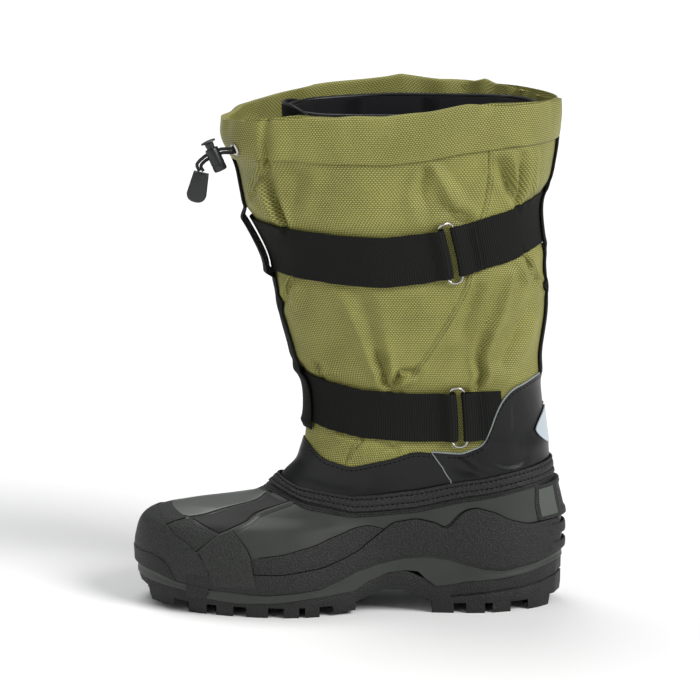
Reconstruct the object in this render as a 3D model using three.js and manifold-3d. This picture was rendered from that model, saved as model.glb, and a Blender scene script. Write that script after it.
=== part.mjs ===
// Cold-weather boot, left foot: moulded rubber foot shell and sole, nylon shaft, felt inner boot.
// Millimetres, +Z up. The toe points to -X, the lateral side with the wire loops is -Y.
import * as THREE from 'three';
import { mergeVertices } from 'three/addons/utils/BufferGeometryUtils.js';
import Module from 'manifold-3d';

const wasm = await Module();
wasm.setup();

// Driving sizes
const bootLength = 320;
const ballWidth = 120;
const collarWidth = 140;
const instepHeight = 120;
const shaftHeight = 260;
const soleHeight = 44;
const lugDepth = 8;
const shellWall = 3;
const shellProud = 2;
const bandProud = 2.6;
const guardThickness = 1.4;
const lipThickness = 2;
const leatherThickness = 1.7;
const nylonWall = 2;
const hemHeight = 36;
const hemThickness = 2.4;
const linerWall = 5;
const linerGap = 5.5;
const insoleThickness = 4;
const heelTabWidth = 50;
const heelTabProud = 4;
const ribWidth = 4;
const ribHeight = 1.2;
const webbingThickness = 1.5;
const strapWidth = 37;
const frontWebbingWidth = 24;
const backWebbingWidth = 20;
const beltLoopRise = 2.4;
const foldLength = 8;
const webbingClear = 1;
const webbingRamp = 6;
const wireDiameter = 2;
const ringHeight = 42;
const ringWidth = 10;
const eyeletOuter = 9.6;
const eyeletHole = 6;
const cordDiameter = 2.5;
const toggleDiameter = 10;
const toggleLength = 17.4;
const plungerDiameter = 6.6;
const plungerHead = 11.4;
const plungerNeck = 4.6;
const plungerTravel = 3.5;
const endClipLength = 22;
const endClipWidth = 13;
const endClipThickness = 9;
const reflectorWidth = 36;
const reflectorHeight = 28;
const gap = 0.3;
// Facets of a strip and of the form under it differ by this much.
const facetGap = 0.4;

// Sections of the form: x as shares of the length, widths as shares of the ball width,
// heights as shares of the instep height. heel, waist, ball and toe are half widths;
// tip is the sideways place of the front point, arch the cut of the medial waist.
const footSections = table('front zFront zSide zBack back heel waist ball toe tip arch lean', [
  [-0.478, 0.0, 0.0, 0.0, 0.482, 0.335, 0.32, 0.46, 0.31, 0.06, 0.05, 0],
  [-0.488, 0.117, 0.117, 0.117, 0.487, 0.35, 0.342, 0.483, 0.335, 0.065, 0.05, 0],
  [-0.493, 0.283, 0.29, 0.3, 0.488, 0.35, 0.342, 0.479, 0.335, 0.065, 0.04, 0],
  [-0.492, 0.4, 0.417, 0.45, 0.489, 0.338, 0.333, 0.454, 0.32, 0.065, 0.033, 0],
  [-0.470, 0.529, 0.517, 0.567, 0.485, 0.32, 0.325, 0.4, 0.283, 0.055, 0.025, 0],
  [-0.394, 0.596, 0.592, 0.667, 0.477, 0.308, 0.312, 0.317, 0.2, 0.04, 0.016, 0],
  [-0.237, 0.654, 0.7, 0.767, 0.468, 0.3, 0.296, 0.292, 0.175, 0.02, 0.008, 0],
  [-0.161, 0.783, 0.825, 0.883, 0.46, 0.296, 0.292, 0.283, 0.167, 0.01, 0, 0],
  [-0.110, 0.983, 1.0, 1.017, 0.453, 0.296, 0.3, 0.288, 0.167, 0, 0, 0],
]);
// The same columns for the shaft: widths as shares of the collar width,
// heights as shares of the shaft height, above the instep.
const shaftSections = table('front zFront zSide zBack back heel waist ball toe tip arch lean', [
  [-0.094, 0.085, 0.085, 0.085, 0.445, 0.257, 0.268, 0.261, 0.157, 0, 0, 0],
  [-0.098, 0.185, 0.185, 0.185, 0.436, 0.271, 0.293, 0.286, 0.171, 0, 0, 0],
  [-0.133, 0.27, 0.27, 0.27, 0.439, 0.282, 0.318, 0.311, 0.186, 0, 0, 0.004],
  [-0.162, 0.405, 0.405, 0.405, 0.45, 0.314, 0.364, 0.357, 0.221, 0, 0, 0.007],
  [-0.181, 0.546, 0.546, 0.546, 0.445, 0.343, 0.407, 0.4, 0.25, 0, 0, 0.018],
  [-0.238, 0.692, 0.692, 0.692, 0.436, 0.386, 0.457, 0.45, 0.32, 0, 0, 0.05],
  [-0.260, 0.8, 0.8, 0.8, 0.466, 0.414, 0.479, 0.476, 0.35, 0, 0, 0.071],
  [-0.288, 0.877, 0.885, 0.885, 0.476, 0.421, 0.486, 0.482, 0.37, 0, 0, 0.079],
  [-0.289, 0.932, 0.995, 0.99, 0.475, 0.421, 0.486, 0.482, 0.37, 0, 0, 0.086],
]);
// The inner boot's own shaft, narrower than the nylon one towards the top.
const linerSections = table('front zFront zSide zBack back heel waist ball toe tip arch lean', [
  [-0.094, 0.085, 0.085, 0.085, 0.445, 0.257, 0.268, 0.261, 0.157, 0, 0, 0],
  [-0.098, 0.185, 0.185, 0.185, 0.436, 0.271, 0.293, 0.286, 0.171, 0, 0, 0],
  [-0.125, 0.405, 0.405, 0.405, 0.445, 0.3, 0.335, 0.32, 0.2, 0, 0, 0.007],
  [-0.145, 0.62, 0.62, 0.62, 0.43, 0.32, 0.355, 0.34, 0.207, 0, 0, 0.03],
  [-0.16, 0.846, 0.846, 0.846, 0.44, 0.34, 0.37, 0.35, 0.215, 0, 0, 0.075],
  [-0.165, 0.96, 0.98, 0.975, 0.452, 0.345, 0.375, 0.355, 0.22, 0, 0, 0.085],
  [-0.165, 1.03, 1.05, 1.045, 0.452, 0.345, 0.375, 0.355, 0.22, 0, 0, 0.085],
]);
// Where the stations of a section lie, as shares of its length from the back.
const stations = { corner: 0.05, heel: 0.17, waist: 0.42, ballOut: 0.66, ballIn: 0.69, toe: 0.91 };
const cornerWidth = 0.6;

// Lines on the side of the boot: x as shares of the length, z as shares of a height.
const footLines = {
  band: line(soleHeight, [
    [-0.5, 0.49], [-0.45, 0.46], [-0.39, 0.42], [-0.327, 0.3], [-0.254, 0.26], [-0.18, 0.28], [-0.072, 0.36],
    [0.005, 0.42], [0.046, 0.59], [0.087, 0.71], [0.128, 0.75], [0.157, 0.73], [0.178, 0.59],
    [0.2, 0.48], [0.231, 0.51], [0.272, 0.57], [0.333, 0.6], [0.395, 0.65], [0.485, 0.79],
  ]),
  feather: line(soleHeight, [
    [-0.5, 0.68], [-0.45, 0.66], [-0.42, 0.6], [-0.4, 0.55], [-0.312, 0.465], [-0.195, 0.42], [-0.137, 0.45], [-0.072, 0.5],
    [-0.036, 0.59], [0.026, 0.78], [0.066, 0.88], [0.128, 0.975], [0.181, 1.0], [0.231, 0.96],
    [0.272, 0.87], [0.313, 0.78], [0.353, 0.75], [0.415, 0.81], [0.485, 0.92],
  ]),
  bed: line(soleHeight, [
    [-0.5, 0.56], [-0.42, 0.53], [-0.3, 0.42], [-0.2, 0.385], [-0.07, 0.47], [0.05, 0.68], [0.12, 0.785],
    [0.2, 0.79], [0.26, 0.76], [0.32, 0.725], [0.4, 0.74], [0.5, 0.87],
  ]),
  rib: line(soleHeight, [
    [0.15, 0.26], [0.202, 0.28], [0.262, 0.33], [0.347, 0.385], [0.417, 0.436], [0.49, 0.54],
  ]),
  lipLow: line(instepHeight, [
    [-0.2, 0.735], [-0.17, 0.73], [-0.094, 0.662], [0.008, 0.635], [0.142, 0.662], [0.277, 0.737],
    [0.41, 0.80], [0.5, 0.83],
  ]),
  lipTop: line(instepHeight, [
    [-0.2, 0.8], [-0.17, 0.8], [-0.114, 0.751], [0.008, 0.721], [0.142, 0.767], [0.277, 0.832],
    [0.41, 0.9], [0.5, 0.94],
  ]),
};
const shaftLines = {
  strapUpper: line(shaftHeight, [
    [-0.25, 0.587], [-0.19, 0.585], [-0.105, 0.572], [0, 0.562], [0.08, 0.56], [0.16, 0.57],
    [0.24, 0.589], [0.345, 0.62], [0.43, 0.655], [0.48, 0.668],
  ], instepHeight),
  strapLower: line(shaftHeight, [
    [-0.12, 0.15], [-0.1, 0.148], [-0.04, 0.128], [0.03, 0.113], [0.15, 0.107], [0.31, 0.11],
    [0.45, 0.11],
  ], instepHeight),
  linerTop: line(shaftHeight, [[-0.3, 0.95], [-0.1, 0.965], [0.1, 0.97], [0.3, 0.968], [0.5, 0.965]], instepHeight),
  hem: line(shaftHeight, [
    [-0.3, 0.82], [-0.263, 0.822], [-0.189, 0.84], [0, 0.832], [0.08, 0.83], [0.158, 0.84],
    [0.264, 0.862], [0.37, 0.876], [0.48, 0.877],
  ], instepHeight),
};

// Outlines seen from the side: x as shares of the length, z as shares of a height.
const guardOutline = outline(soleHeight, [
  [-0.312, 0.2], [-0.312, 0.77], [-0.225, 1.0], [-0.162, 1.06], [-0.093, 1.18], [-0.026, 1.36],
  [0.008, 1.46], [0.041, 1.5], [0.075, 1.45], [0.092, 1.38], [0.115, 1.54], [0.156, 1.61],
  [0.196, 1.55], [0.223, 1.45], [0.243, 1.64], [0.263, 1.76], [0.29, 1.8], [0.33, 1.69],
  [0.371, 1.54], [0.411, 1.475], [0.46, 1.49], [0.46, 0.2],
]);
const toeOutline = outline(soleHeight, [
  [-0.52, 0.2], [-0.52, 1.45], [-0.447, 1.53], [-0.431, 1.45], [-0.395, 1.27], [-0.348, 1.05],
  [-0.319, 0.77], [-0.315, 0.2],
]);
const quarterOutline = outline(instepHeight, [
  [0.243, 0.5], [0.236, 0.86], [0.215, 0.94], [0.1875, 1.01], [0.25, 1.0], [0.312, 1.055], [0.322, 1.13],
  [0.346, 1.34], [0.37, 1.4], [0.43, 1.46], [0.52, 1.47], [0.52, 0.5],
]);
const tabOutline = outline(soleHeight, [
  [0.42, 1.533], [0.43, 1.909], [0.452, 2.127], [0.52, 2.127], [0.52, 1.516],
]);
const vampOutline = outline(instepHeight, [
  [0.24, 0.5], [0.233, 0.85], [0.212, 0.93], [0.184, 1.003], [0.153, 1.015], [0.081, 0.95],
  [0, 0.897], [-0.064, 0.937], [-0.11, 1.06], [-0.3, 1.06], [-0.3, 0.5],
]);

function table(names, rows) {
  const keys = names.split(' ');
  return rows.map((row) => Object.fromEntries(keys.map((key, i) => [key, row[i]])));
}

// A line on the side: the height at a place along the boot.
function line(height, rows, base = 0) {
  const curve = rows.map(([along, up]) => [along * bootLength, base + up * height]);
  return (x) => {
    const next = curve.findIndex((row) => row[0] > x);
    if (next === 0) return curve[0][1];
    if (next < 0) return curve[curve.length - 1][1];
    const [x0, z0] = curve[next - 1];
    const [x1, z1] = curve[next];
    const s = (x - x0) / (x1 - x0);
    return z0 + (z1 - z0) * (s * s * (3 - 2 * s) * 0.35 + s * 0.65);
  };
}

function outline(height, rows) {
  return rows.map(([along, up]) => new THREE.Vector2(along * bootLength, up * height));
}

// The form: closed rings of twelve stations, joined by a curve from ring to ring.
function ring(row, width, height, base) {
  const back = row.back * bootLength;
  const length = back - row.front * bootLength;
  const lean = row.lean * width;
  const rise = (s) => {
    const z = row.zBack * (2 * s - 1) * (s - 1) + row.zSide * 4 * s * (1 - s) + row.zFront * s * (2 * s - 1);
    return base + z * height;
  };
  const at = (s, y) => new THREE.Vector3(back - s * length, lean + y * width, rise(s));
  const { corner, heel, waist, ballOut, ballIn, toe } = stations;
  const points = [
    at(0, 0),
    at(corner, -row.heel * cornerWidth),
    at(heel, -row.heel),
    at(waist, -row.waist),
    at(ballOut, -row.ball),
    at(toe, -row.toe + row.tip * 0.5),
    at(1, row.tip),
    at(toe, row.toe + row.tip * 0.5),
    at(ballIn, row.ball),
    at(waist, row.waist - row.arch),
    at(heel, row.heel),
    at(corner, row.heel * cornerWidth),
  ];
  return new THREE.CatmullRomCurve3(points, true, 'catmullrom', 0.5);
}
class Form {
  constructor(rings) {
    this.rings = rings;
    this.top = rings.length - 1;
    this.columns = new Map();
  }

  at(u, v) {
    const turn = u - Math.floor(u);
    if (!this.columns.has(turn)) {
      const points = this.rings.map((curve) => curve.getPoint(turn));
      this.columns.set(turn, new THREE.CatmullRomCurve3(points, false, 'catmullrom', 0.5));
    }
    return this.columns.get(turn).getPoint(THREE.MathUtils.clamp(v / this.top, 0, 1));
  }

  alongRound(u, v) {
    return this.at(u + 0.002, v).sub(this.at(u - 0.002, v));
  }

  alongUp(u, v) {
    return this.at(u, Math.min(v + 0.02, this.top)).sub(this.at(u, Math.max(v - 0.02, 0)));
  }

  normal(u, v) {
    return this.alongUp(u, v).cross(this.alongRound(u, v)).normalize();
  }

  lifted(u, v, offset) {
    return this.at(u, v).addScaledVector(this.normal(u, v), offset);
  }

  // The place up the form where it meets a line of the side.
  row(u, heightAt) {
    let low = 0;
    let high = this.top;
    for (let i = 0; i < 30; i += 1) {
      const middle = (low + high) / 2;
      const point = this.at(u, middle);
      if (point.z < heightAt(point.x)) low = middle;
      else high = middle;
    }
    return (low + high) / 2;
  }

  // The turn round the form at a place along the boot: side -1 is lateral, +1 medial.
  turn(x, heightAt, side) {
    let low = 0;
    let high = 0.5;
    for (let i = 0; i < 30; i += 1) {
      const middle = (low + high) / 2;
      const u = side < 0 ? middle : 1 - middle;
      if (this.at(u, this.row(u, heightAt)).x > x) low = middle;
      else high = middle;
    }
    return side < 0 ? (low + high) / 2 : 1 - (low + high) / 2;
  }
}
const footRings = footSections.map((row) => ring(row, ballWidth, instepHeight, 0));
const shaftRings = (rows) => rows.map((row) => ring(row, collarWidth, shaftHeight, instepHeight));
const bootForm = new Form([...footRings, ...shaftRings(shaftSections)]);
const linerForm = new Form([...footRings, ...shaftRings(linerSections)]);

function turns(from, to, count) {
  return Array.from({ length: count + 1 }, (_, i) => from + ((to - from) * i) / count);
}
function geometryFrom(points, faces) {
  const geometry = new THREE.BufferGeometry();
  geometry.setAttribute('position', new THREE.Float32BufferAttribute(points.flatMap((p) => [p.x, p.y, p.z]), 3));
  geometry.setIndex(faces.flat());
  return outward(geometry);
}
function outward(geometry) {
  const at = geometry.getAttribute('position');
  const index = geometry.getIndex();
  const corners = [new THREE.Vector3(), new THREE.Vector3(), new THREE.Vector3()];
  let volume = 0;
  for (let i = 0; i < index.count; i += 3) {
    corners.forEach((corner, k) => corner.fromBufferAttribute(at, index.getX(i + k)));
    volume += corners[0].dot(corners[1].clone().cross(corners[2]));
  }
  if (volume > 0) return geometry;
  const turned = index.array.slice();
  for (let i = 0; i < turned.length; i += 3) [turned[i + 1], turned[i + 2]] = [turned[i + 2], turned[i + 1]];
  geometry.setIndex(Array.from(turned));
  return geometry;
}

// A solid between two grids of points: outer and inner, a list of points for each step round.
function skin(outer, inner, closed) {
  const steps = outer.length;
  const rows = outer[0].length;
  const points = [...outer.flat(), ...inner.flat()];
  const id = (i, j, layer) => (i % steps) * rows + j + layer * steps * rows;
  const faces = [];
  const quad = (a, b, c, d) => faces.push([a, b, c], [a, c, d]);
  const spans = closed ? steps : steps - 1;
  for (let i = 0; i < spans; i += 1) {
    for (let j = 0; j < rows - 1; j += 1) {
      quad(id(i, j, 0), id(i + 1, j, 0), id(i + 1, j + 1, 0), id(i, j + 1, 0));
      quad(id(i, j, 1), id(i, j + 1, 1), id(i + 1, j + 1, 1), id(i + 1, j, 1));
    }
    quad(id(i, 0, 0), id(i, 0, 1), id(i + 1, 0, 1), id(i + 1, 0, 0));
    quad(id(i, rows - 1, 0), id(i + 1, rows - 1, 0), id(i + 1, rows - 1, 1), id(i, rows - 1, 1));
  }
  if (!closed) {
    for (let j = 0; j < rows - 1; j += 1) {
      quad(id(0, j, 0), id(0, j + 1, 0), id(0, j + 1, 1), id(0, j, 1));
      quad(id(steps - 1, j, 0), id(steps - 1, j, 1), id(steps - 1, j + 1, 1), id(steps - 1, j + 1, 0));
    }
  }
  return geometryFrom(points, faces);
}
// Rows up the form: each line of the side, or section by number, with a count of steps to the next.
function rowsThrough(form, u, stops) {
  const places = stops.map(([lineAt]) => (typeof lineAt === 'number' ? lineAt : form.row(u, lineAt)));
  const rows = [places[0]];
  for (let k = 1; k < stops.length; k += 1) {
    rows.push(...turns(places[k - 1], places[k], stops[k - 1][1]).slice(1));
  }
  return rows;
}
// A layer on the form through some lines, between two distances from the form.
function layer({ form = bootForm, us, closed = false, stops, inner, outer }) {
  const grid = (offset) => us.map((u) => rowsThrough(form, u, stops).map((v) => {
    const distance = typeof offset === 'function' ? offset(form.at(u, v), u) : offset;
    return form.lifted(u, v, distance);
  }));
  return skin(grid(outer), grid(inner), closed);
}
// A closed wire round some corners, each of them rounded off.
function wireLoop(corners, bend, radius, sides) {
  const across = corners[2].clone().sub(corners[0]);
  const flat = across.cross(corners[3].clone().sub(corners[1])).normalize();
  const path = corners.flatMap((corner, i) => {
    const [before, after] = [corners[(i + 3) % 4], corners[(i + 1) % 4]].map((other) => (
      corner.clone().lerp(other, bend / corner.distanceTo(other))
    ));
    return new THREE.QuadraticBezierCurve3(before, corner, after).getPoints(2);
  });
  const count = path.length;
  const points = [];
  const faces = [];
  path.forEach((place, i) => {
    const tangent = path[(i + 1) % count].clone().sub(path[(i + count - 1) % count]).normalize();
    const side = tangent.cross(flat).normalize();
    for (let k = 0; k < sides; k += 1) {
      const angle = (k / sides) * Math.PI * 2;
      points.push(place.clone()
        .addScaledVector(side, Math.cos(angle) * radius)
        .addScaledVector(flat, Math.sin(angle) * radius));
      const id = (step, turn) => (step % count) * sides + (turn % sides);
      faces.push([id(i, k), id(i + 1, k), id(i + 1, k + 1)], [id(i, k), id(i + 1, k + 1), id(i, k + 1)]);
    }
  });
  return geometryFrom(points, faces);
}
// A filled block of the form through some lines. Each lid runs straight across from side to side.
function block(form, us, stops, offset) {
  const grid = us.map((u) => rowsThrough(form, u, stops).map((v) => form.lifted(u, v, offset)));
  const count = us.length;
  const rows = grid[0].length;
  const id = (i, j) => (i % count) * rows + j;
  const faces = [];
  for (let i = 0; i < count; i += 1) {
    for (let j = 0; j < rows - 1; j += 1) {
      faces.push([id(i, j), id(i + 1, j), id(i + 1, j + 1)], [id(i, j), id(i + 1, j + 1), id(i, j + 1)]);
    }
  }
  for (let i = 0; i < count / 2; i += 1) {
    const far = count - i;
    for (const [a, b, c] of [[i, i + 1, far - 1], [i, far - 1, far]]) {
      if (a % count === c % count || b === c) continue;
      faces.push([id(a, rows - 1), id(b, rows - 1), id(c, rows - 1)], [id(a, 0), id(c, 0), id(b, 0)]);
    }
  }
  return geometryFrom(grid.flat(), faces);
}
// A strip of even width up the form, centred on one turn.
function strip({ turn, width, stops, inner, outer, across = 2 }) {
  const rows = rowsThrough(bootForm, turn, stops);
  const grid = (offset) => turns(-0.5, 0.5, across).map((t) => rows.map((v) => {
    const speed = bootForm.alongRound(turn, v).length() / 0.004;
    return bootForm.lifted(turn + (t * width) / speed, v, offset(bootForm.at(turn, v)));
  }));
  return skin(grid(outer), grid(inner), false);
}
// A wall-to-wall prism of an outline seen from the side.
function prism(points, from = -ballWidth, to = ballWidth) {
  const geometry = new THREE.ExtrudeGeometry(new THREE.Shape(points), { depth: to - from, bevelEnabled: false });
  geometry.rotateX(Math.PI / 2);
  geometry.translate(0, to, 0);
  return geometry;
}
// A prism standing on an outline seen from above.
function upright(points, from, to) {
  const geometry = new THREE.ExtrudeGeometry(new THREE.Shape(points), { depth: to - from, bevelEnabled: false });
  geometry.translate(0, 0, from);
  return geometry;
}

function solid(geometry) {
  const bare = geometry.clone();
  for (const name of Object.keys(bare.attributes)) if (name !== 'position') bare.deleteAttribute(name);
  const merged = mergeVertices(bare, 1e-4);
  return new wasm.Manifold(new wasm.Mesh({
    numProp: 3,
    vertProperties: new Float32Array(merged.getAttribute('position').array),
    triVerts: new Uint32Array(merged.getIndex().array),
  }));
}
function geometryOf(body) {
  const mesh = body.getMesh();
  const geometry = new THREE.BufferGeometry();
  geometry.setAttribute('position', new THREE.Float32BufferAttribute(mesh.vertProperties, 3));
  geometry.setIndex(Array.from(mesh.triVerts));
  return geometry;
}
function cylinder(radius, from, to, sides = 20) {
  const geometry = new THREE.CylinderGeometry(radius, radius, from.distanceTo(to), sides);
  const turned = new THREE.Quaternion().setFromUnitVectors(new THREE.Vector3(0, 1, 0), to.clone().sub(from).normalize());
  geometry.applyQuaternion(turned);
  const middle = from.clone().lerp(to, 0.5);
  geometry.translate(middle.x, middle.y, middle.z);
  return geometry;
}
function largest(body) {
  const pieces = body.decompose();
  return pieces.reduce((best, piece) => (piece.volume() > best.volume() ? piece : best));
}

const boot = new THREE.Group();
function add(name, geometry, color, roughness, metalness = 0) {
  const material = new THREE.MeshStandardMaterial({ color, roughness, metalness });
  const mesh = new THREE.Mesh(geometry, material);
  mesh.name = name;
  boot.add(mesh);
  return mesh;
}
const rubber = 0x3c3e3a;
const leather = 0x1d1d1f;
const nylon = 0x8f8a4e;
const webbing = 0x1b1b1c;
const felt = 0x222223;
const steel = 0xb9bcc0;

// Steps round the form: so many from each station to the next, from the back to the toe.
const stepsBetween = [2, 2, 5, 5, 4, 4];
const halfRound = stepsBetween.flatMap((count, k) => turns(k / 12, (k + 1) / 12, count).slice(0, -1));
const around = [...halfRound, 0.5, ...halfRound.slice(1).reverse().map((u) => 1 - u)];
const liningRound = around.filter((_, i) => i % 2 === 0);
// The steps between two turns, the same ones that the hollow pieces have.
function partRound(from, to) {
  return [...around.map((u) => u - 1), ...around].filter((u) => u > from - 1e-6 && u < to + 1e-6);
}
const shift = (lineAt, by) => (x) => lineAt(x) + by;
const reach = bootLength * 0.52;
// The side profile between two lines, as points from toe to heel and back.
function between(low, high, from = -reach, to = reach, steps = 26) {
  const xs = turns(from, to, steps);
  const under = xs.map((x) => new THREE.Vector2(x, low(x)));
  const over = xs.map((x) => new THREE.Vector2(x, high(x)));
  return [...under, ...over.reverse()];
}

// Outsole: a plate that follows the band's line, with lugs under it.
const forefootEnd = -0.355 * bootLength;
const archStart = 0.01 * bootLength;
const archEnd = 0.19 * bootLength;
const archDepth = 1.3 * lugDepth;
function toeSpring(x) {
  const front = Math.max(0, forefootEnd - x) / (0.145 * bootLength);
  const waist = x > 0.1 * bootLength ? 0 : THREE.MathUtils.clamp((x / bootLength + 0.05) / 0.05, 0, 1);
  return lugDepth * (1.1 * front ** 1.5 + 0.55 * waist);
}
function plateLow(x) {
  const s = THREE.MathUtils.clamp((x - archStart) / (archEnd - archStart), 0, 1);
  return lugDepth + toeSpring(Math.min(x, forefootEnd)) * (x < 0 ? 1 : 0) + archDepth * Math.sin(Math.PI * s) ** 0.8;
}
const soleBody = solid(block(bootForm, around, [[() => 0.02, 2], [footLines.band]], shellProud));
const plate = soleBody.intersect(solid(prism(between(plateLow, () => soleHeight))));
// Lugs: from, to and skew as shares of the length, inner end as a share of the ball width.
const lugRows = table('from to inner skew', [
  [-0.447, -0.388, 0.135, 0.03],
  [-0.362, -0.322, 0.102, 0.02],
  [-0.3, -0.262, 0.102, 0.02],
  [-0.236, -0.186, 0.08, 0.01],
  [-0.152, -0.117, 0.08, 0],
  [-0.103, -0.07, 0.091, 0],
  [-0.042, 0.008, 0.113, -0.01],
  [0.19, 0.24, 0.135, 0],
  [0.268, 0.312, 0.135, 0],
  [0.33, 0.372, 0.135, 0],
  [0.398, 0.452, 0.146, -0.02],
]);
const lugOverrun = 1.5 * lugDepth;
const lugChamfer = lugDepth / 4;
// One lug: a block from the sole's edge inwards, or one of the middle row where side is 0.
function lug(row, side) {
  const start = row.from * bootLength;
  const end = row.to * bootLength;
  const inner = row.inner * ballWidth;
  const skew = row.skew * bootLength;
  const edge = ballWidth * 0.6;
  const middle = inner - 2 * lugChamfer;
  const arrow = [start + lugChamfer, end - lugChamfer, end + lugChamfer, start + 3 * lugChamfer];
  const corners = side === 0
    ? [
      [arrow[0], -middle],
      [arrow[1], -middle],
      [arrow[2], 0],
      [arrow[1], middle],
      [arrow[0], middle],
      [arrow[3], 0],
    ]
    : [[start - skew, side * inner], [end - skew, side * inner], [end, side * edge], [start, side * edge]];
  const shape = corners.map(([x, y]) => new THREE.Vector2(x, y));
  if (THREE.ShapeUtils.isClockWise(shape)) shape.reverse();
  const profile = [
    new THREE.Vector2(start - lugOverrun, toeSpring(start)),
    new THREE.Vector2(end + lugOverrun, toeSpring(end)),
    new THREE.Vector2(end + lugOverrun, plateLow(end) + lugChamfer),
    new THREE.Vector2(start - lugOverrun, plateLow(start) + lugChamfer),
  ];
  return solid(upright(shape, -lugChamfer, lugDepth * 4)).intersect(solid(prism(profile)));
}
let outsole = plate;
for (const row of lugRows) {
  for (const side of [-1, 0, 1]) {
    outsole = outsole.add(lug(row, side).intersect(soleBody));
  }
}
const heelGroove = layer({
  us: partRound(-0.2, 0.2),
  stops: [[shift(footLines.rib, -0.8), 1], [shift(footLines.rib, 0.8)]],
  inner: shellProud - 1.2,
  outer: shellProud + 2,
});
outsole = largest(outsole.subtract(solid(heelGroove)));
add('outsole', geometryOf(outsole), rubber, 0.75);

// Midsole: the smooth band round the foot bed.
const bandStops = [[shift(footLines.band, gap), 1], [shift(footLines.feather, -gap / 2)]];
const bandBody = solid(block(bootForm, around, bandStops, bandProud));
const bedHollow = solid(block(bootForm, around, [[footLines.bed, 1], [() => soleHeight * 1.3]], shellProud - shellWall));
add('midsole', geometryOf(largest(bandBody.subtract(bedHollow))), rubber, 0.6);

// Foot shell: hollow, open below and at the lip, with two ribs on each side of the instep.
const shellStops = [[shift(footLines.feather, gap / 2), 5], [footLines.lipLow]];
let shell = solid(layer({
  us: around,
  closed: true,
  stops: shellStops,
  inner: shellProud - shellWall,
  outer: shellProud,
}));
const ribPaths = [
  { first: 4.1, last: 5.95, turnAt: (s) => 0.436 - 0.05 * Math.sin(Math.PI * s) ** 0.9 * 0.5 - 0.012 * s },
  { first: 3.3, last: 5.9, turnAt: (s) => 0.402 - 0.028 * Math.sin(Math.PI * s) + 0.006 * s },
];
function rib(path, side) {
  const sectionAt = (s) => {
    const v = path.first + (path.last - path.first) * s;
    const lateral = path.turnAt(s);
    const u = side < 0 ? lateral : 1 - lateral;
    const half = ribWidth / 2 / (bootForm.alongRound(u, v).length() / 0.004);
    const taper = 1 - Math.max(0, 1 - s * 5) * 0.9;
    const crest = shellProud + ribHeight * taper;
    return {
      outer: [bootForm.lifted(u - half * 0.4, v, crest), bootForm.lifted(u + half * 0.4, v, crest)],
      inner: [bootForm.lifted(u - half, v, shellProud - 1), bootForm.lifted(u + half, v, shellProud - 1)],
    };
  };
  const sections = turns(0, 1, 4).map(sectionAt);
  return solid(skin(sections.map((part) => part.outer), sections.map((part) => part.inner), false));
}
for (const path of ribPaths) {
  for (const side of [-1, 1]) {
    shell = shell.add(rib(path, side));
  }
}
add('foot_shell', geometryOf(largest(shell)), rubber, 0.55);

// Guards: textured overlays cut from the shell's own form, clear of its ribs.
const onShell = { stops: shellStops, inner: shellProud + gap, outer: shellProud + gap + guardThickness };
const sideGuard = prism(guardOutline);
for (const [name, us] of [['side_guard_lateral', partRound(0.03, 0.42)], ['side_guard_medial', partRound(0.58, 0.97)]]) {
  const guard = solid(layer({ ...onShell, us })).intersect(solid(sideGuard));
  add(name, geometryOf(largest(guard)), rubber, 0.85);
}
const toeGuard = solid(layer({ ...onShell, us: partRound(0.36, 0.64) })).intersect(solid(prism(toeOutline)));
add('toe_guard', geometryOf(largest(toeGuard)), rubber, 0.85);

// Heel tab: a block on the back of the shell to push the boot off with.
const tabLayer = solid(layer({
  us: partRound(-0.14, 0.14),
  stops: shellStops,
  inner: shellProud + gap,
  outer: shellProud + gap + heelTabProud,
}));
const tabSlab = new THREE.BoxGeometry(bootLength, heelTabWidth, instepHeight * 2);
tabSlab.translate(bootLength / 2, 0, instepHeight);
add('heel_tab', geometryOf(largest(tabLayer.intersect(solid(prism(tabOutline))).intersect(solid(tabSlab)))), rubber, 0.7);

// Lip: the stitched upper edge of the shell, on the leather that stands behind it.
const lipFoot = shift(footLines.lipLow, gap);
add('shell_lip', layer({
  us: around,
  closed: true,
  stops: [[lipFoot, 1], [footLines.lipTop]],
  inner: gap + leatherThickness + gap,
  outer: gap + leatherThickness + gap + lipThickness,
}), rubber, 0.8);

// Rows of the shaft, laid on the straps' edges so that a strap lies flat between two of them.
const halfStrap = strapWidth / 2;
const rim = shift(shaftLines.hem, hemHeight);
const shaftStops = [
  [lipFoot, 1],
  [footLines.lipTop, 1],
  [shift(shaftLines.strapLower, -halfStrap), 1],
  [shift(shaftLines.strapLower, halfStrap), 1],
  [shift(shaftLines.strapUpper, -halfStrap), 1],
  [shift(shaftLines.strapUpper, halfStrap), 1],
  [shaftLines.hem, 1],
  [rim],
];
add('shaft', layer({ us: around, closed: true, stops: shaftStops, inner: -nylonWall, outer: 0 }), nylon, 0.8);

// Leather vamp and quarter, standing on the shell's edge under the lip.
const leatherStops = shaftStops.slice(0, 4);
const leatherLayer = (us) => solid(layer({
  us,
  stops: [...leatherStops, shaftStops[4]],
  inner: gap,
  outer: gap + leatherThickness,
}));
const quarterCut = solid(prism(quarterOutline));
const quarter = largest(leatherLayer(partRound(-0.3, 0.3)).intersect(quarterCut));
add('heel_quarter', geometryOf(quarter), leather, 0.45);
const vamp = leatherLayer(partRound(0.2, 0.8)).intersect(solid(prism(vampOutline)));
add('vamp_leather', geometryOf(largest(vamp)), leather, 0.45);

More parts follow.
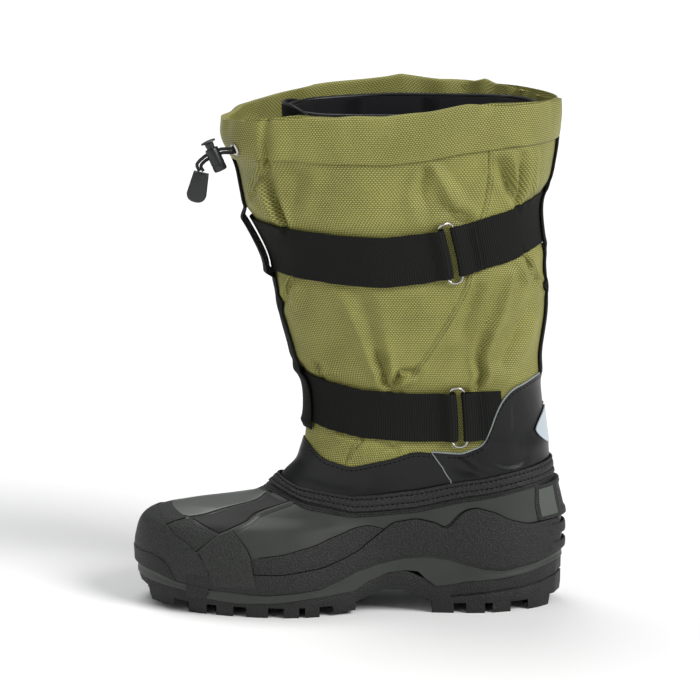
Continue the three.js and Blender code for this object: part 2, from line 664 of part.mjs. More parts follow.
// Reflector: a plain lozenge on the back of the quarter.
const reflectorHeightAt = () => 1.12 * instepHeight;
const lozenge = new THREE.Shape();
lozenge.moveTo(-reflectorWidth / 2, 0);
lozenge.quadraticCurveTo(-reflectorWidth * 0.36, reflectorHeight * 0.46, 0, reflectorHeight / 2);
lozenge.quadraticCurveTo(reflectorWidth * 0.36, reflectorHeight * 0.46, reflectorWidth / 2, 0);
lozenge.quadraticCurveTo(reflectorWidth * 0.3, -reflectorHeight * 0.4, 0, -reflectorHeight / 2);
lozenge.quadraticCurveTo(-reflectorWidth * 0.3, -reflectorHeight * 0.4, -reflectorWidth / 2, 0);
const lozengePrism = new THREE.ExtrudeGeometry(lozenge, { depth: bootLength / 2, bevelEnabled: false, curveSegments: 4 });
lozengePrism.rotateX(Math.PI / 2);
lozengePrism.rotateZ(Math.PI / 2);
lozengePrism.translate(bootLength / 4, 0, reflectorHeightAt());
const reflectorLayer = solid(layer({
  us: partRound(-0.12, 0.12),
  stops: [...leatherStops, shaftStops[4]],
  inner: 2 * gap + leatherThickness,
  outer: 2 * gap + leatherThickness + 0.8,
}));
add('heel_reflector', geometryOf(largest(reflectorLayer.intersect(solid(lozengePrism)))), 0xb4c0c6, 0.4);

// Folded hem, with the drawcord's hole at the front of the lateral side.
const eyeletUp = 0.8654 * shaftHeight;
const eyeletAlong = -0.252 * bootLength;
const eyeletPlace = () => instepHeight + eyeletUp;
const eyeletTurn = bootForm.turn(eyeletAlong, eyeletPlace, -1);
const eyeletRow = bootForm.row(eyeletTurn, eyeletPlace);
const hemOuter = gap + hemThickness;
const eyeletAt = (offset) => bootForm.lifted(eyeletTurn, eyeletRow, offset);
const hem = solid(layer({
  us: around,
  closed: true,
  stops: [[shaftLines.hem, 1], [rim]],
  inner: gap,
  outer: hemOuter,
})).subtract(solid(cylinder(eyeletHole / 2, eyeletAt(-0.5), eyeletAt(hemOuter + 3))));
add('collar_hem', geometryOf(largest(hem)), nylon, 0.8);
const eyeletHalf = (eyeletOuter - eyeletHole) / 4;
const eyelet = new THREE.LatheGeometry([
  new THREE.Vector2(eyeletHole / 2, 0),
  new THREE.Vector2(eyeletOuter / 2, 0),
  new THREE.Vector2(eyeletOuter / 2 - eyeletHalf / 3, 0.7),
  new THREE.Vector2(eyeletHole / 2 + eyeletHalf / 2, 1),
  new THREE.Vector2(eyeletHole / 2, 0.5),
  new THREE.Vector2(eyeletHole / 2, 0),
], 14);
eyelet.applyQuaternion(new THREE.Quaternion().setFromUnitVectors(
  new THREE.Vector3(0, 1, 0),
  bootForm.normal(eyeletTurn, eyeletRow),
));
const eyeletSeat = eyeletAt(hemOuter + gap);
eyelet.translate(eyeletSeat.x, eyeletSeat.y, eyeletSeat.z);
add('eyelet', eyelet, steel, 0.3, 1);

// Inner boot: a hollow felt sock that stands on the foot bed, with the insole inside.
const sockFloor = shift(footLines.bed, gap + 1.5 * facetGap);
const sockTop = shaftLines.linerTop;
const sockStops = (low, high) => [[low, 1], [3.6, 1], [4.5, 1], [5.6, 1], [6.8, 1], [8.3, 1], [10.3, 1], [high]];
const sock = solid(block(linerForm, liningRound, sockStops(sockFloor, sockTop), -linerGap));
const sockRoom = solid(block(
  linerForm,
  liningRound,
  sockStops(shift(sockFloor, linerWall), shift(sockTop, 12)),
  -linerGap - linerWall,
));
add('inner_boot', geometryOf(largest(sock.subtract(sockRoom))), felt, 0.95);
add('insole', block(linerForm, liningRound, [
  [shift(sockFloor, linerWall + gap), 1],
  [shift(sockFloor, linerWall + gap + insoleThickness)],
], -linerGap - linerWall - gap - 1), felt, 0.9);

// Straps: webbing on the form, each with a fold round the wire loop's bar.
const strapInner = gap;
const strapOuter = gap + webbingThickness;
const barOffset = strapOuter + gap + wireDiameter / 2;
const foldOuter = barOffset + wireDiameter / 2 + gap + 1;
const loops = {
  upper: { lineAt: shaftLines.strapUpper, frontBar: 0.212, flapEnd: 0.3, underEnd: 0.21 },
  lower: { lineAt: shaftLines.strapLower, frontBar: 0.2345, flapEnd: 0.285, underEnd: 0.2 },
};
const lerp = THREE.MathUtils.lerp;
const smooth = THREE.MathUtils.smoothstep;
function strapLayer(lineAt, us, inner, outer) {
  const stops = [[shift(lineAt, -halfStrap), 1], [shift(lineAt, halfStrap)]];
  return layer({ us, stops, inner, outer });
}
function withEnds(from, to) {
  const inside = partRound(from, to).filter((u) => u > from + 0.003 && u < to - 0.003);
  return [from, ...inside, to];
}
const barRise = ringHeight / 2 - wireDiameter / 2;
function barEnd(u, lineAt, end) {
  return bootForm.lifted(u, bootForm.row(u, shift(lineAt, end * barRise)), barOffset);
}
const barTurns = {};
for (const [name, { lineAt, frontBar, flapEnd, underEnd }] of Object.entries(loops)) {
  const turnFor = (x, side) => bootForm.turn(x, lineAt, side);
  const front = frontBar * bootLength;
  const rear = front + ringWidth;
  const bars = [turnFor(front, -1), turnFor(rear, -1)];
  barTurns[name] = bars;
  const pocket = wireDiameter / 2 + gap + 0.8;
  const frontFold = [turnFor(front + pocket, -1), turnFor(front - foldLength, -1)];
  const rearFold = [turnFor(rear + foldLength, -1), turnFor(rear - pocket, -1)];
  const overlapStart = (underEnd - 0.11) * bootLength;
  const rampEnd = 0.05 * bootLength;
  const overlapEnd = underEnd * bootLength;
  const lifting = (point) => (point.y > 0 ? smooth(point.x, overlapStart, overlapEnd - rampEnd) : 0) * (webbingThickness + gap);
  const frontStrap = solid(strapLayer(
    lineAt,
    withEnds(frontFold[0], turnFor(flapEnd * bootLength, 1)),
    (point) => strapInner + lifting(point),
    (point) => strapOuter + lifting(point),
  ));
  const foldOf = (us) => solid(strapLayer(lineAt, us, strapInner, foldOuter));
  const barBore = (u) => {
    const [low, high] = [-1, 1].map((end) => barEnd(u, lineAt, end));
    const past = high.clone().sub(low).multiplyScalar(0.1);
    return solid(cylinder(wireDiameter / 2 + gap, low.clone().sub(past), high.clone().add(past), 8));
  };
  const frontPart = frontStrap.add(foldOf(withEnds(...frontFold))).subtract(barBore(bars[0]));
  add(`strap_${name}_front`, geometryOf(largest(frontPart)), webbing, 0.85);
  const reachBack = name === 'upper' ? turnFor(overlapEnd + 2, 1) - 1 : 0.02;
  const rearStrap = solid(strapLayer(lineAt, withEnds(reachBack, rearFold[1]), strapInner, strapOuter));
  let rearPart = rearStrap.add(foldOf(withEnds(...rearFold))).subtract(barBore(bars[1]));
  if (name === 'lower') {
    const edge = solid(prism(quarterOutline.map((p) => new THREE.Vector2(p.x - 0.8, p.y))));
    rearPart = largest(rearPart.subtract(edge));
    const under = solid(strapLayer(lineAt, withEnds(turnFor(overlapEnd + 2, 1), 0.99), strapInner, strapOuter));
    add('strap_lower_under', geometryOf(largest(under.subtract(edge))), webbing, 0.85);
  }
  add(`strap_${name}_rear`, geometryOf(largest(rearPart)), webbing, 0.85);
}

// Wire loops between the folds.
for (const [name, bars] of Object.entries(barTurns)) {
  const { lineAt } = loops[name];
  const [frontU, rearU] = bars;
  const corners = [[frontU, -1], [frontU, 1], [rearU, 1], [rearU, -1]].map(([u, end]) => barEnd(u, lineAt, end));
  add(`ring_${name}`, wireLoop(corners, wireDiameter, wireDiameter / 2, 6), steel, 0.25, 1);
}

// Webbing up the front and the back, over the straps.
const loopEdge = halfStrap + webbingClear;
const loopFoot = loopEdge + webbingRamp;
function webbingOver(base, rise, tops) {
  return (point) => {
    let lift = 0;
    for (const [lineAt, top] of tops) {
      const away = Math.abs(point.z - lineAt(point.x));
      lift = Math.max(lift, (top - base) * (1 - smooth(away, loopEdge, loopFoot)));
    }
    return base + lift + rise;
  };
}
const overStrap = strapOuter + gap + facetGap;
const shaftRoom = solid(block(bootForm, around, shaftStops, gap));
const crossings = (lineAt) => [
  [shift(lineAt, -loopFoot), 1],
  [shift(lineAt, -loopEdge), 1],
  [shift(lineAt, loopEdge), 1],
];
const frontTops = [[shaftLines.strapLower, overStrap + beltLoopRise], [shaftLines.strapUpper, overStrap + beltLoopRise]];
const hemFoot = shift(shaftLines.hem, -0.6);
const frontWebbing = solid(strip({
  turn: 0.5,
  width: frontWebbingWidth,
  stops: [
    ...crossings(shaftLines.strapLower),
    [shift(shaftLines.strapLower, loopFoot), 1],
    ...crossings(shaftLines.strapUpper),
    [shift(shaftLines.strapUpper, loopFoot), 1],
    [hemFoot],
  ],
  inner: webbingOver(gap + facetGap, 0, frontTops),
  outer: webbingOver(gap + facetGap, webbingThickness, frontTops),
}));
add('front_webbing', geometryOf(largest(frontWebbing.subtract(shaftRoom))), webbing, 0.85);
const quarterTop = () => 1.47 * instepHeight + 0.6;
const backTops = [[shaftLines.strapUpper, overStrap]];
const backWebbing = solid(strip({
  turn: 0,
  width: backWebbingWidth,
  stops: [
    [quarterTop, 2],
    ...crossings(shaftLines.strapUpper),
    [shift(shaftLines.strapUpper, loopFoot), 1],
    [hemFoot],
  ],
  inner: webbingOver(gap + facetGap, 0, backTops),
  outer: webbingOver(gap + facetGap, webbingThickness, backTops),
}));
add('back_webbing', geometryOf(largest(backWebbing.subtract(shaftRoom))), webbing, 0.85);

// Cord lock: a barrel with a sprung plunger, on the two ends of the drawcord.
const lockAxis = new THREE.Vector3(-0.408, 0, 0.913).normalize();
const lockOut = new THREE.Vector3(-1.55, -0.15, -0.38).multiplyScalar(toggleDiameter);
const lockCentre = eyeletSeat.clone().add(lockOut);
const lockAcross = new THREE.Vector3(lockAxis.z, 0, -lockAxis.x);
const onLock = (h, out = 0) => lockCentre.clone().addScaledVector(lockAxis, h).addScaledVector(lockAcross, out);
const strandPitch = cordDiameter + 0.4;
const slotHalf = strandPitch / 2 + cordDiameter / 2 + gap;
const barrelTop = slotHalf + 1.7;
const barrelBottom = barrelTop - toggleLength;
const boreRadius = plungerDiameter / 2 + gap;
const boreBottom = barrelBottom + 1.8;
// A slot through the barrel for the two strands, one above the other.
function slot(low, high) {
  const width = cordDiameter + 2 * gap;
  const box = new THREE.BoxGeometry(toggleDiameter * 3, width, high - low);
  box.applyQuaternion(new THREE.Quaternion().setFromUnitVectors(new THREE.Vector3(0, 0, 1), lockAxis));
  const middle = onLock((low + high) / 2);
  box.translate(middle.x, middle.y, middle.z);
  return solid(box);
}
const barrel = solid(cylinder(toggleDiameter / 2, onLock(barrelBottom), onLock(barrelTop), 16))
  .subtract(solid(cylinder(boreRadius, onLock(boreBottom), onLock(barrelTop + 3), 12)))
  .subtract(slot(-slotHalf, slotHalf));
add('toggle_body', geometryOf(largest(barrel)), 0x1a1c1c, 0.4);
const headLow = barrelTop + plungerNeck;
const plunger = solid(cylinder(plungerDiameter / 2, onLock(boreBottom + gap + plungerTravel), onLock(headLow + 0.5), 12))
  .add(solid(cylinder(plungerHead / 2, onLock(headLow), onLock(headLow + 1.6), 16)))
  .subtract(slot(-slotHalf, slotHalf + plungerTravel));
add('toggle_plunger', geometryOf(largest(plunger)), 0x1a1c1c, 0.4);

// End clip on the cord's ends.
const clipTop = lockCentre.clone().add(new THREE.Vector3(-0.91 * toggleDiameter, 0, -0.75 * toggleLength));
const clipAxis = new THREE.Vector3(-0.22, 0, -0.975).normalize();
const clipShape = new THREE.Shape();
const clipHalf = endClipWidth / 2;
clipShape.moveTo(-clipHalf * 0.86, 0);
clipShape.lineTo(-clipHalf * 1.12, -endClipLength * 0.74);
clipShape.quadraticCurveTo(-clipHalf, -endClipLength, 0, -endClipLength);
clipShape.quadraticCurveTo(clipHalf, -endClipLength, clipHalf * 1.12, -endClipLength * 0.74);
clipShape.lineTo(clipHalf * 0.86, 0);
clipShape.closePath();
const clip = new THREE.ExtrudeGeometry(clipShape, {
  depth: endClipThickness - 2,
  bevelEnabled: true,
  bevelThickness: 1,
  bevelSize: 0.8,
  bevelOffset: -0.8,
  bevelSegments: 1,
  curveSegments: 4,
});
clip.translate(0, -0.1, 1 - endClipThickness / 2);
clip.rotateX(Math.PI / 2);
clip.rotateY(Math.atan2(-clipAxis.x, -clipAxis.z));
clip.translate(clipTop.x, clipTop.y, clipTop.z);
add('cord_end', clip, 0x1a1c1c, 0.5);

// The two strands, from the eyelet through the lock to the clip.
const cordStart = eyeletAt(gap * 2);
const cordOut = eyeletAt(hemOuter + 3);
for (const [name, side] of [['cord_outer', 1], ['cord_inner', -1]]) {
  const across = (side * strandPitch) / 2;
  const beside = new THREE.Vector3(0, 0, 1).multiplyScalar(across);
  const through = lockAxis.clone().multiplyScalar(across);
  const path = new THREE.CatmullRomCurve3([
    cordStart.clone().add(beside),
    cordOut.clone().add(beside),
    onLock(0, toggleDiameter / 2 + 1.5).add(through),
    onLock(0, toggleDiameter / 4).add(through),
    onLock(0, -toggleDiameter / 4).add(through),
    onLock(0, -toggleDiameter / 2 - 1.5).add(through),
    new THREE.Vector3(clipTop.x - 1.6 - across, clipTop.y, clipTop.z + 5.5 + across * 0.4),
    new THREE.Vector3(clipTop.x - across, clipTop.y, clipTop.z + 3 * gap + across * 0.05),
  ]);
  const section = new THREE.Shape();
  section.absarc(0, 0, cordDiameter / 2, 0, Math.PI * 2);
  add(name, new THREE.ExtrudeGeometry(section, { steps: 11, extrudePath: path, curveSegments: 4 }), 0x1c1b1b, 0.9);
}

// The origin lies on the floor under the middle of the boot, without the drawcord's own pieces.
const cordPieces = ['toggle_body', 'toggle_plunger', 'cord_end', 'cord_outer', 'cord_inner'];
const bounds = new THREE.Box3();
for (const mesh of boot.children.filter((piece) => !cordPieces.includes(piece.name))) {
  bounds.expandByObject(mesh);
}
const middle = bounds.getCenter(new THREE.Vector3());
boot.position.set(-middle.x, -middle.y, -bounds.min.z);
boot.updateMatrixWorld(true);
export default boot;
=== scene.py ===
import math

import bpy
import numpy as np
from mathutils import Matrix, Vector


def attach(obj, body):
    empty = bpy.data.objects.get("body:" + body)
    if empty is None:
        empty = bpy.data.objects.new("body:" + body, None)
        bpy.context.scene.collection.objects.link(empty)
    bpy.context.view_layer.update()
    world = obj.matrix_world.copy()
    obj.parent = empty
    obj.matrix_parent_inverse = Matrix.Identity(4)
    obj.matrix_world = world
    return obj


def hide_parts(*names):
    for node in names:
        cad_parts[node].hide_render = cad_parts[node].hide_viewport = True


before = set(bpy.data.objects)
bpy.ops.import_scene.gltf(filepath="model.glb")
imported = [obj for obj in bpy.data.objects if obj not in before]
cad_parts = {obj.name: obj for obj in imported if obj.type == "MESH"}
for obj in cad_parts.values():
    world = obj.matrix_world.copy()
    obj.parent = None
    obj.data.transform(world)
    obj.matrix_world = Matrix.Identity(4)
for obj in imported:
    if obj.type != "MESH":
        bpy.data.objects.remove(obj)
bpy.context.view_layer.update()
print("stage: frame loaded")

# Lengths are in millimetres in the source's own frame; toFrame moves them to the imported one.
mm = 0.001
frameShift = np.array([0.011, -11.001, 0.0])
boot = {
    "length": 320,
    "ball": 120,
    "collar": 140,
    "instep": 120,
    "shaft": 260,
    "sole": 44,
    "shellProud": 2.0,
    "bandProud": 2.6,
    "strapWidth": 37,
    "hemHeight": 36,
}


def toFrame(points):
    return (np.asarray(points, float) + frameShift) * mm


# The form of the boot: closed rings of the foot and the shaft, as shares of the boot's sizes.
sectionKeys = "front zFront zSide zBack back heel waist ball toe tip arch lean".split()
footSections = [
    [-0.478, 0.0, 0.0, 0.0, 0.482, 0.335, 0.32, 0.46, 0.31, 0.06, 0.05, 0],
    [-0.488, 0.117, 0.117, 0.117, 0.487, 0.35, 0.342, 0.483, 0.335, 0.065, 0.05, 0],
    [-0.493, 0.283, 0.29, 0.3, 0.488, 0.35, 0.342, 0.479, 0.335, 0.065, 0.04, 0],
    [-0.492, 0.4, 0.417, 0.45, 0.489, 0.338, 0.333, 0.454, 0.32, 0.065, 0.033, 0],
    [-0.470, 0.529, 0.517, 0.567, 0.485, 0.32, 0.325, 0.4, 0.283, 0.055, 0.025, 0],
    [-0.394, 0.596, 0.592, 0.667, 0.477, 0.308, 0.312, 0.317, 0.2, 0.04, 0.016, 0],
    [-0.237, 0.654, 0.7, 0.767, 0.468, 0.3, 0.296, 0.292, 0.175, 0.02, 0.008, 0],
    [-0.161, 0.783, 0.825, 0.883, 0.46, 0.296, 0.292, 0.283, 0.167, 0.01, 0, 0],
    [-0.110, 0.983, 1.0, 1.017, 0.453, 0.296, 0.3, 0.288, 0.167, 0, 0, 0],
]
shaftSections = [
    [-0.094, 0.085, 0.085, 0.085, 0.445, 0.257, 0.268, 0.261, 0.157, 0, 0, 0],
    [-0.098, 0.185, 0.185, 0.185, 0.436, 0.271, 0.293, 0.286, 0.171, 0, 0, 0],
    [-0.133, 0.27, 0.27, 0.27, 0.439, 0.282, 0.318, 0.311, 0.186, 0, 0, 0.004],
    [-0.162, 0.405, 0.405, 0.405, 0.45, 0.314, 0.364, 0.357, 0.221, 0, 0, 0.007],
    [-0.181, 0.546, 0.546, 0.546, 0.445, 0.343, 0.407, 0.4, 0.25, 0, 0, 0.018],
    [-0.238, 0.692, 0.692, 0.692, 0.436, 0.386, 0.457, 0.45, 0.32, 0, 0, 0.05],
    [-0.260, 0.8, 0.8, 0.8, 0.466, 0.414, 0.479, 0.476, 0.35, 0, 0, 0.071],
    [-0.288, 0.877, 0.885, 0.885, 0.476, 0.421, 0.486, 0.482, 0.37, 0, 0, 0.079],
    [-0.289, 0.932, 0.995, 0.99, 0.475, 0.421, 0.486, 0.482, 0.37, 0, 0, 0.086],
]
linerSections = shaftSections[:2] + [
    [-0.125, 0.405, 0.405, 0.405, 0.445, 0.3, 0.335, 0.32, 0.2, 0, 0, 0.007],
    [-0.145, 0.62, 0.62, 0.62, 0.43, 0.32, 0.355, 0.34, 0.207, 0, 0, 0.03],
    [-0.16, 0.846, 0.846, 0.846, 0.44, 0.34, 0.37, 0.35, 0.215, 0, 0, 0.075],
    [-0.165, 0.96, 0.98, 0.975, 0.452, 0.345, 0.375, 0.355, 0.22, 0, 0, 0.085],
    [-0.165, 1.03, 1.05, 1.045, 0.452, 0.345, 0.375, 0.355, 0.22, 0, 0, 0.085],
]
stations = {"corner": 0.05, "heel": 0.17, "waist": 0.42, "ballOut": 0.66, "ballIn": 0.69, "toe": 0.91}
cornerWidth = 0.6


def ring(row, width, height, base):
    part = dict(zip(sectionKeys, row))
    back = part["back"] * boot["length"]
    length = back - part["front"] * boot["length"]

    def at(s, y):
        z = part["zBack"] * (2 * s - 1) * (s - 1) + part["zSide"] * 4 * s * (1 - s) + part["zFront"] * s * (2 * s - 1)
        return [back - s * length, (part["lean"] + y) * width, base + z * height]

    heel, waist, ball, toe, tip = (part[key] for key in ("heel", "waist", "ball", "toe", "tip"))
    return [
        at(0, 0),
        at(stations["corner"], -heel * cornerWidth),
        at(stations["heel"], -heel),
        at(stations["waist"], -waist),
        at(stations["ballOut"], -ball),
        at(stations["toe"], -toe + tip * 0.5),
        at(1, tip),
        at(stations["toe"], toe + tip * 0.5),
        at(stations["ballIn"], ball),
        at(stations["waist"], waist - part["arch"]),
        at(stations["heel"], heel),
        at(stations["corner"], heel * cornerWidth),
    ]


# A smooth run from p1 to p2 that heads the way its neighbours lie.
def between(p0, p1, p2, p3, w):
    t0 = 0.5 * (p2 - p0)
    t1 = 0.5 * (p3 - p1)
    return p1 + t0 * w + (3 * (p2 - p1) - 2 * t0 - t1) * w**2 + (2 * (p1 - p2) + t0 + t1) * w**3


# A surface through the rings: u goes once round from the heel, v counts the rings from the lowest.
class Form:
    def __init__(self, sections):
        self.rings = np.array(sections, float)
        self.top = len(sections) - 1
        self.span = 0.004

    def at(self, u, v):
        u, v = np.broadcast_arrays(np.asarray(u, float), np.asarray(v, float))
        shape = u.shape
        turn = (u.ravel() % 1.0) * 12
        i = np.floor(turn).astype(int) % 12
        w = (turn - np.floor(turn))[:, None, None]
        rings = self.rings.transpose(1, 0, 2)
        columns = between(rings[(i - 1) % 12], rings[i], rings[(i + 1) % 12], rings[(i + 2) % 12], w)
        v = np.clip(v.ravel(), 0, self.top)
        j = np.minimum(np.floor(v).astype(int), self.top - 1)
        w = (v - j)[:, None]
        rows = np.arange(len(v))
        p1, p2 = columns[rows, j], columns[rows, j + 1]
        p0 = np.where((j > 0)[:, None], columns[rows, np.maximum(j - 1, 0)], 2 * p1 - p2)
        last = (j + 2 <= self.top)[:, None]
        p3 = np.where(last, columns[rows, np.minimum(j + 2, self.top)], 2 * p2 - p1)
        return between(p0, p1, p2, p3, w).reshape(*shape, 3)

    # the step on the surface for a small turn, span
    def alongRound(self, u, v):
        return self.at(u + self.span / 2, v) - self.at(u - self.span / 2, v)

    def normal(self, u, v):
        up = self.at(u, np.minimum(v + 0.02, self.top)) - self.at(u, np.maximum(v - 0.02, 0))
        n = np.cross(up, self.alongRound(u, v))
        return n / np.maximum(np.linalg.norm(n, axis=-1, keepdims=True), 1e-9)

    def lifted(self, u, v, offset):
        return self.at(u, v) + self.normal(u, v) * np.asarray(offset, float)[..., None]

    # the v at which the surface crosses a line that gives a height at each x
    def row(self, u, lineAt):
        u = np.asarray(u, float)
        low, high = np.zeros(u.shape), np.full(u.shape, float(self.top))
        for _ in range(26):
            middle = (low + high) / 2
            point = self.at(u, middle)
            under = point[..., 2] < lineAt(point[..., 0])
            low, high = np.where(under, middle, low), np.where(under, high, middle)
        return (low + high) / 2

    # the u at which that crossing lies at x, on the outer side (-1) or the inner one (1)
    def turn(self, x, lineAt, side):
        low, high = 0.0, 0.5
        for _ in range(26):
            middle = (low + high) / 2
            u = middle if side < 0 else 1 - middle
            if self.at(u, self.row(u, lineAt))[..., 0] > x:
                low = middle
            else:
                high = middle
        return (low + high) / 2 if side < 0 else 1 - (low + high) / 2


footRings = [ring(row, boot["ball"], boot["instep"], 0) for row in footSections]
bootForm, linerForm = (
    Form(footRings + [ring(row, boot["collar"], boot["shaft"], boot["instep"]) for row in sections])
    for sections in (shaftSections, linerSections)
)


# A line of the side view through points that are shares of the length and of a height.
def line(height, rows, base=0):
    xs = np.array([row[0] for row in rows]) * boot["length"]
    zs = np.array([row[1] for row in rows]) * height + base

    def at(x):
        x = np.asarray(x, float)
        k = np.clip(np.searchsorted(xs, x, side="right") - 1, 0, len(xs) - 2)
        s = np.clip((x - xs[k]) / (xs[k + 1] - xs[k]), 0, 1)
        return zs[k] + (zs[k + 1] - zs[k]) * (s * s * (3 - 2 * s) * 0.35 + s * 0.65)

    return at


def shift(lineAt, by):
    return lambda x: lineAt(x) + by


# The same line with its corners rounded over some millimetres.
def eased(lineAt, reach):
    return lambda x: sum(lineAt(np.asarray(x, float) + reach * k / 2) for k in (-2, -1, 0, 1, 2)) / 5


def level(z):
    return lambda x: np.full(np.shape(x), float(z))


sole, instep, shaftHeight = boot["sole"], boot["instep"], boot["shaft"]
band = line(sole, [
    [-0.5, 0.49], [-0.45, 0.46], [-0.39, 0.42], [-0.327, 0.3], [-0.254, 0.26], [-0.18, 0.28], [-0.072, 0.36],
    [0.005, 0.42], [0.046, 0.59], [0.087, 0.71], [0.128, 0.75], [0.157, 0.73], [0.178, 0.59],
    [0.2, 0.48], [0.231, 0.51], [0.272, 0.57], [0.333, 0.6], [0.395, 0.65], [0.485, 0.79],
])
feather = line(sole, [
    [-0.5, 0.68], [-0.45, 0.66], [-0.42, 0.6], [-0.4, 0.55], [-0.312, 0.465], [-0.195, 0.42], [-0.137, 0.45],
    [-0.072, 0.5], [-0.036, 0.59], [0.026, 0.78], [0.066, 0.88], [0.128, 0.975], [0.181, 1.0], [0.231, 0.96],
    [0.272, 0.87], [0.313, 0.78], [0.353, 0.75], [0.415, 0.81], [0.485, 0.92],
])
lipLow = line(instep, [
    [-0.2, 0.735], [-0.17, 0.73], [-0.094, 0.662], [0.008, 0.635], [0.142, 0.662], [0.277, 0.737],
    [0.41, 0.80], [0.5, 0.83],
])
lipTop = line(instep, [
    [-0.2, 0.8], [-0.17, 0.8], [-0.114, 0.751], [0.008, 0.721], [0.142, 0.767], [0.277, 0.832],
    [0.41, 0.9], [0.5, 0.94],
])
strapUpper = line(shaftHeight, [
    [-0.25, 0.587], [-0.19, 0.585], [-0.105, 0.572], [0, 0.562], [0.08, 0.56], [0.16, 0.57],
    [0.24, 0.589], [0.345, 0.62], [0.43, 0.655], [0.48, 0.668],
], instep)
strapLower = line(shaftHeight, [
    [-0.12, 0.15], [-0.1, 0.148], [-0.04, 0.128], [0.03, 0.113], [0.15, 0.107], [0.31, 0.11], [0.45, 0.11],
], instep)
hem = line(shaftHeight, [
    [-0.3, 0.82], [-0.263, 0.822], [-0.189, 0.84], [0, 0.832], [0.08, 0.83], [0.158, 0.84],
    [0.264, 0.862], [0.37, 0.876], [0.48, 0.877],
], instep)
guardTop = line(sole, [
    [-0.32, 0.3], [-0.314, 0.77], [-0.225, 1.0], [-0.162, 1.06], [-0.093, 1.18], [-0.026, 1.36], [0.008, 1.46],
    [0.041, 1.5], [0.075, 1.45], [0.092, 1.38], [0.115, 1.54], [0.156, 1.61], [0.196, 1.55], [0.223, 1.45],
    [0.243, 1.64], [0.263, 1.76], [0.29, 1.8], [0.33, 1.69], [0.371, 1.54], [0.411, 1.475], [0.46, 1.49],
])
toeTop = line(sole, [
    [-0.52, 1.45], [-0.447, 1.53], [-0.431, 1.45], [-0.395, 1.27], [-0.348, 1.05], [-0.319, 0.77], [-0.315, 0.2],
])
hindTop = line(sole, [
    [-0.32, 0.7], [-0.312, 0.77], [-0.231, 0.75], [-0.163, 0.75], [-0.069, 0.84], [-0.025, 0.95], [0.016, 1.09],
    [0.044, 1.25], [0.075, 1.42], [0.1, 1.55], [0.153, 1.61], [0.196, 1.55], [0.225, 1.43],
    [0.243, 1.6], [0.263, 1.74], [0.29, 1.8], [0.33, 1.72], [0.371, 1.56], [0.411, 1.475], [0.46, 1.49],
])
toePlateTop = line(sole, [
    [-0.5, 0.93], [-0.45, 0.93], [-0.428, 0.88], [-0.412, 0.76], [-0.402, 0.62], [-0.392, 0.56], [-0.38, 0.54],
])
patchTop = line(sole, [
    [-0.36, 1.0], [-0.341, 1.16], [-0.31, 1.28], [-0.278, 1.41], [-0.256, 1.3], [-0.234, 1.16], [-0.225, 0.95],
    [-0.221, 0.6],
])
vampTop = line(instep, [
    [-0.3, 1.06], [-0.11, 1.06], [-0.064, 0.937], [0, 0.897], [0.081, 0.95], [0.153, 1.015], [0.184, 1.003],
    [0.26, 0.99],
])
quarterTop = line(instep, [
    [0.18, 1.012], [0.25, 1.0], [0.3, 1.04], [0.315, 1.08], [0.325, 1.17], [0.342, 1.31], [0.37, 1.4],
    [0.43, 1.46], [0.52, 1.47],
])
guardTop, hindTop, toeTop = eased(guardTop, 3.5), eased(hindTop, 3), eased(toeTop, 2)
vampTop, quarterTop = eased(vampTop, 5), eased(quarterTop, 3.5)


# Where the leather quarter's front edge lies at a height.
def quarterFront(z):
    heights = np.array([0.5, 0.86, 0.94, 1.01]) * instep
    return np.interp(z, heights, np.array([0.243, 0.236, 0.215, 0.1875]) * boot["length"])


def smooth(x, low, high):
    s = np.clip((np.asarray(x, float) - low) / (high - low), 0, 1)
    return s * s * (3 - 2 * s)


# The camera stands where the photograph was taken from.
view = {"away": -2450, "height": 680, "drop": 490, "focal": 173.4}
cameraData = bpy.data.cameras.new("camera")
camera = bpy.data.objects.new("camera", cameraData)
bpy.context.collection.objects.link(camera)
cameraData.sensor_width = 36
cameraData.lens = view["focal"]
cameraData.clip_end = 100
camera.location = Vector(toFrame([0, view["away"], view["height"]]))
camera.rotation_euler = (math.pi / 2 - math.atan2(view["drop"], -view["away"]), 0, 0)
bpy.context.scene.camera = camera


def steps(low, high, count):
    return np.linspace(low, high, count + 1)


# A smooth curve through some points, as many points along it.
def curveThrough(points, each=10):
    points = np.array(points, float)
    padded = np.concatenate([[2 * points[0] - points[1]], points, [2 * points[-1] - points[-2]]])
    w = np.linspace(0, 1, each, endpoint=False)[:, None]
    parts = [between(*padded[k:k + 4], w) for k in range(len(points) - 1)]
    return np.concatenate([*parts, points[-1:]])


def only(piece):
    bpy.ops.object.select_all(action="DESELECT")
    piece.select_set(True)
    bpy.context.view_layer.objects.active = piece


def named(piece, name):
    piece.name = name
    piece.data.name = name
    return piece


def edited(piece, *actions):
    only(piece)
    bpy.ops.object.mode_set(mode="EDIT")
    bpy.ops.mesh.select_mode(type="VERT")
    bpy.ops.mesh.select_all(action="SELECT")
    for action in actions:
        action()
    bpy.ops.object.mode_set(mode="OBJECT")
    return piece


def modified(piece, kind, **settings):
    only(piece)
    modifier = piece.modifiers.new(kind.lower(), kind)
    for key, value in settings.items():
        setattr(modifier, key, value)
    bpy.ops.object.modifier_apply(modifier=modifier.name)
    return piece


def smoothed(piece, degrees=38):
    only(piece)
    bpy.ops.object.shade_smooth_by_angle(angle=math.radians(degrees))
    return piece


def beveled(piece, width, segments=2, degrees=40):
    return modified(
        piece, "BEVEL", width=width * mm, segments=segments, limit_method="ANGLE", angle_limit=math.radians(degrees)
    )


def thickened(piece, thickness):
    return modified(piece, "SOLIDIFY", thickness=thickness * mm, offset=-1)


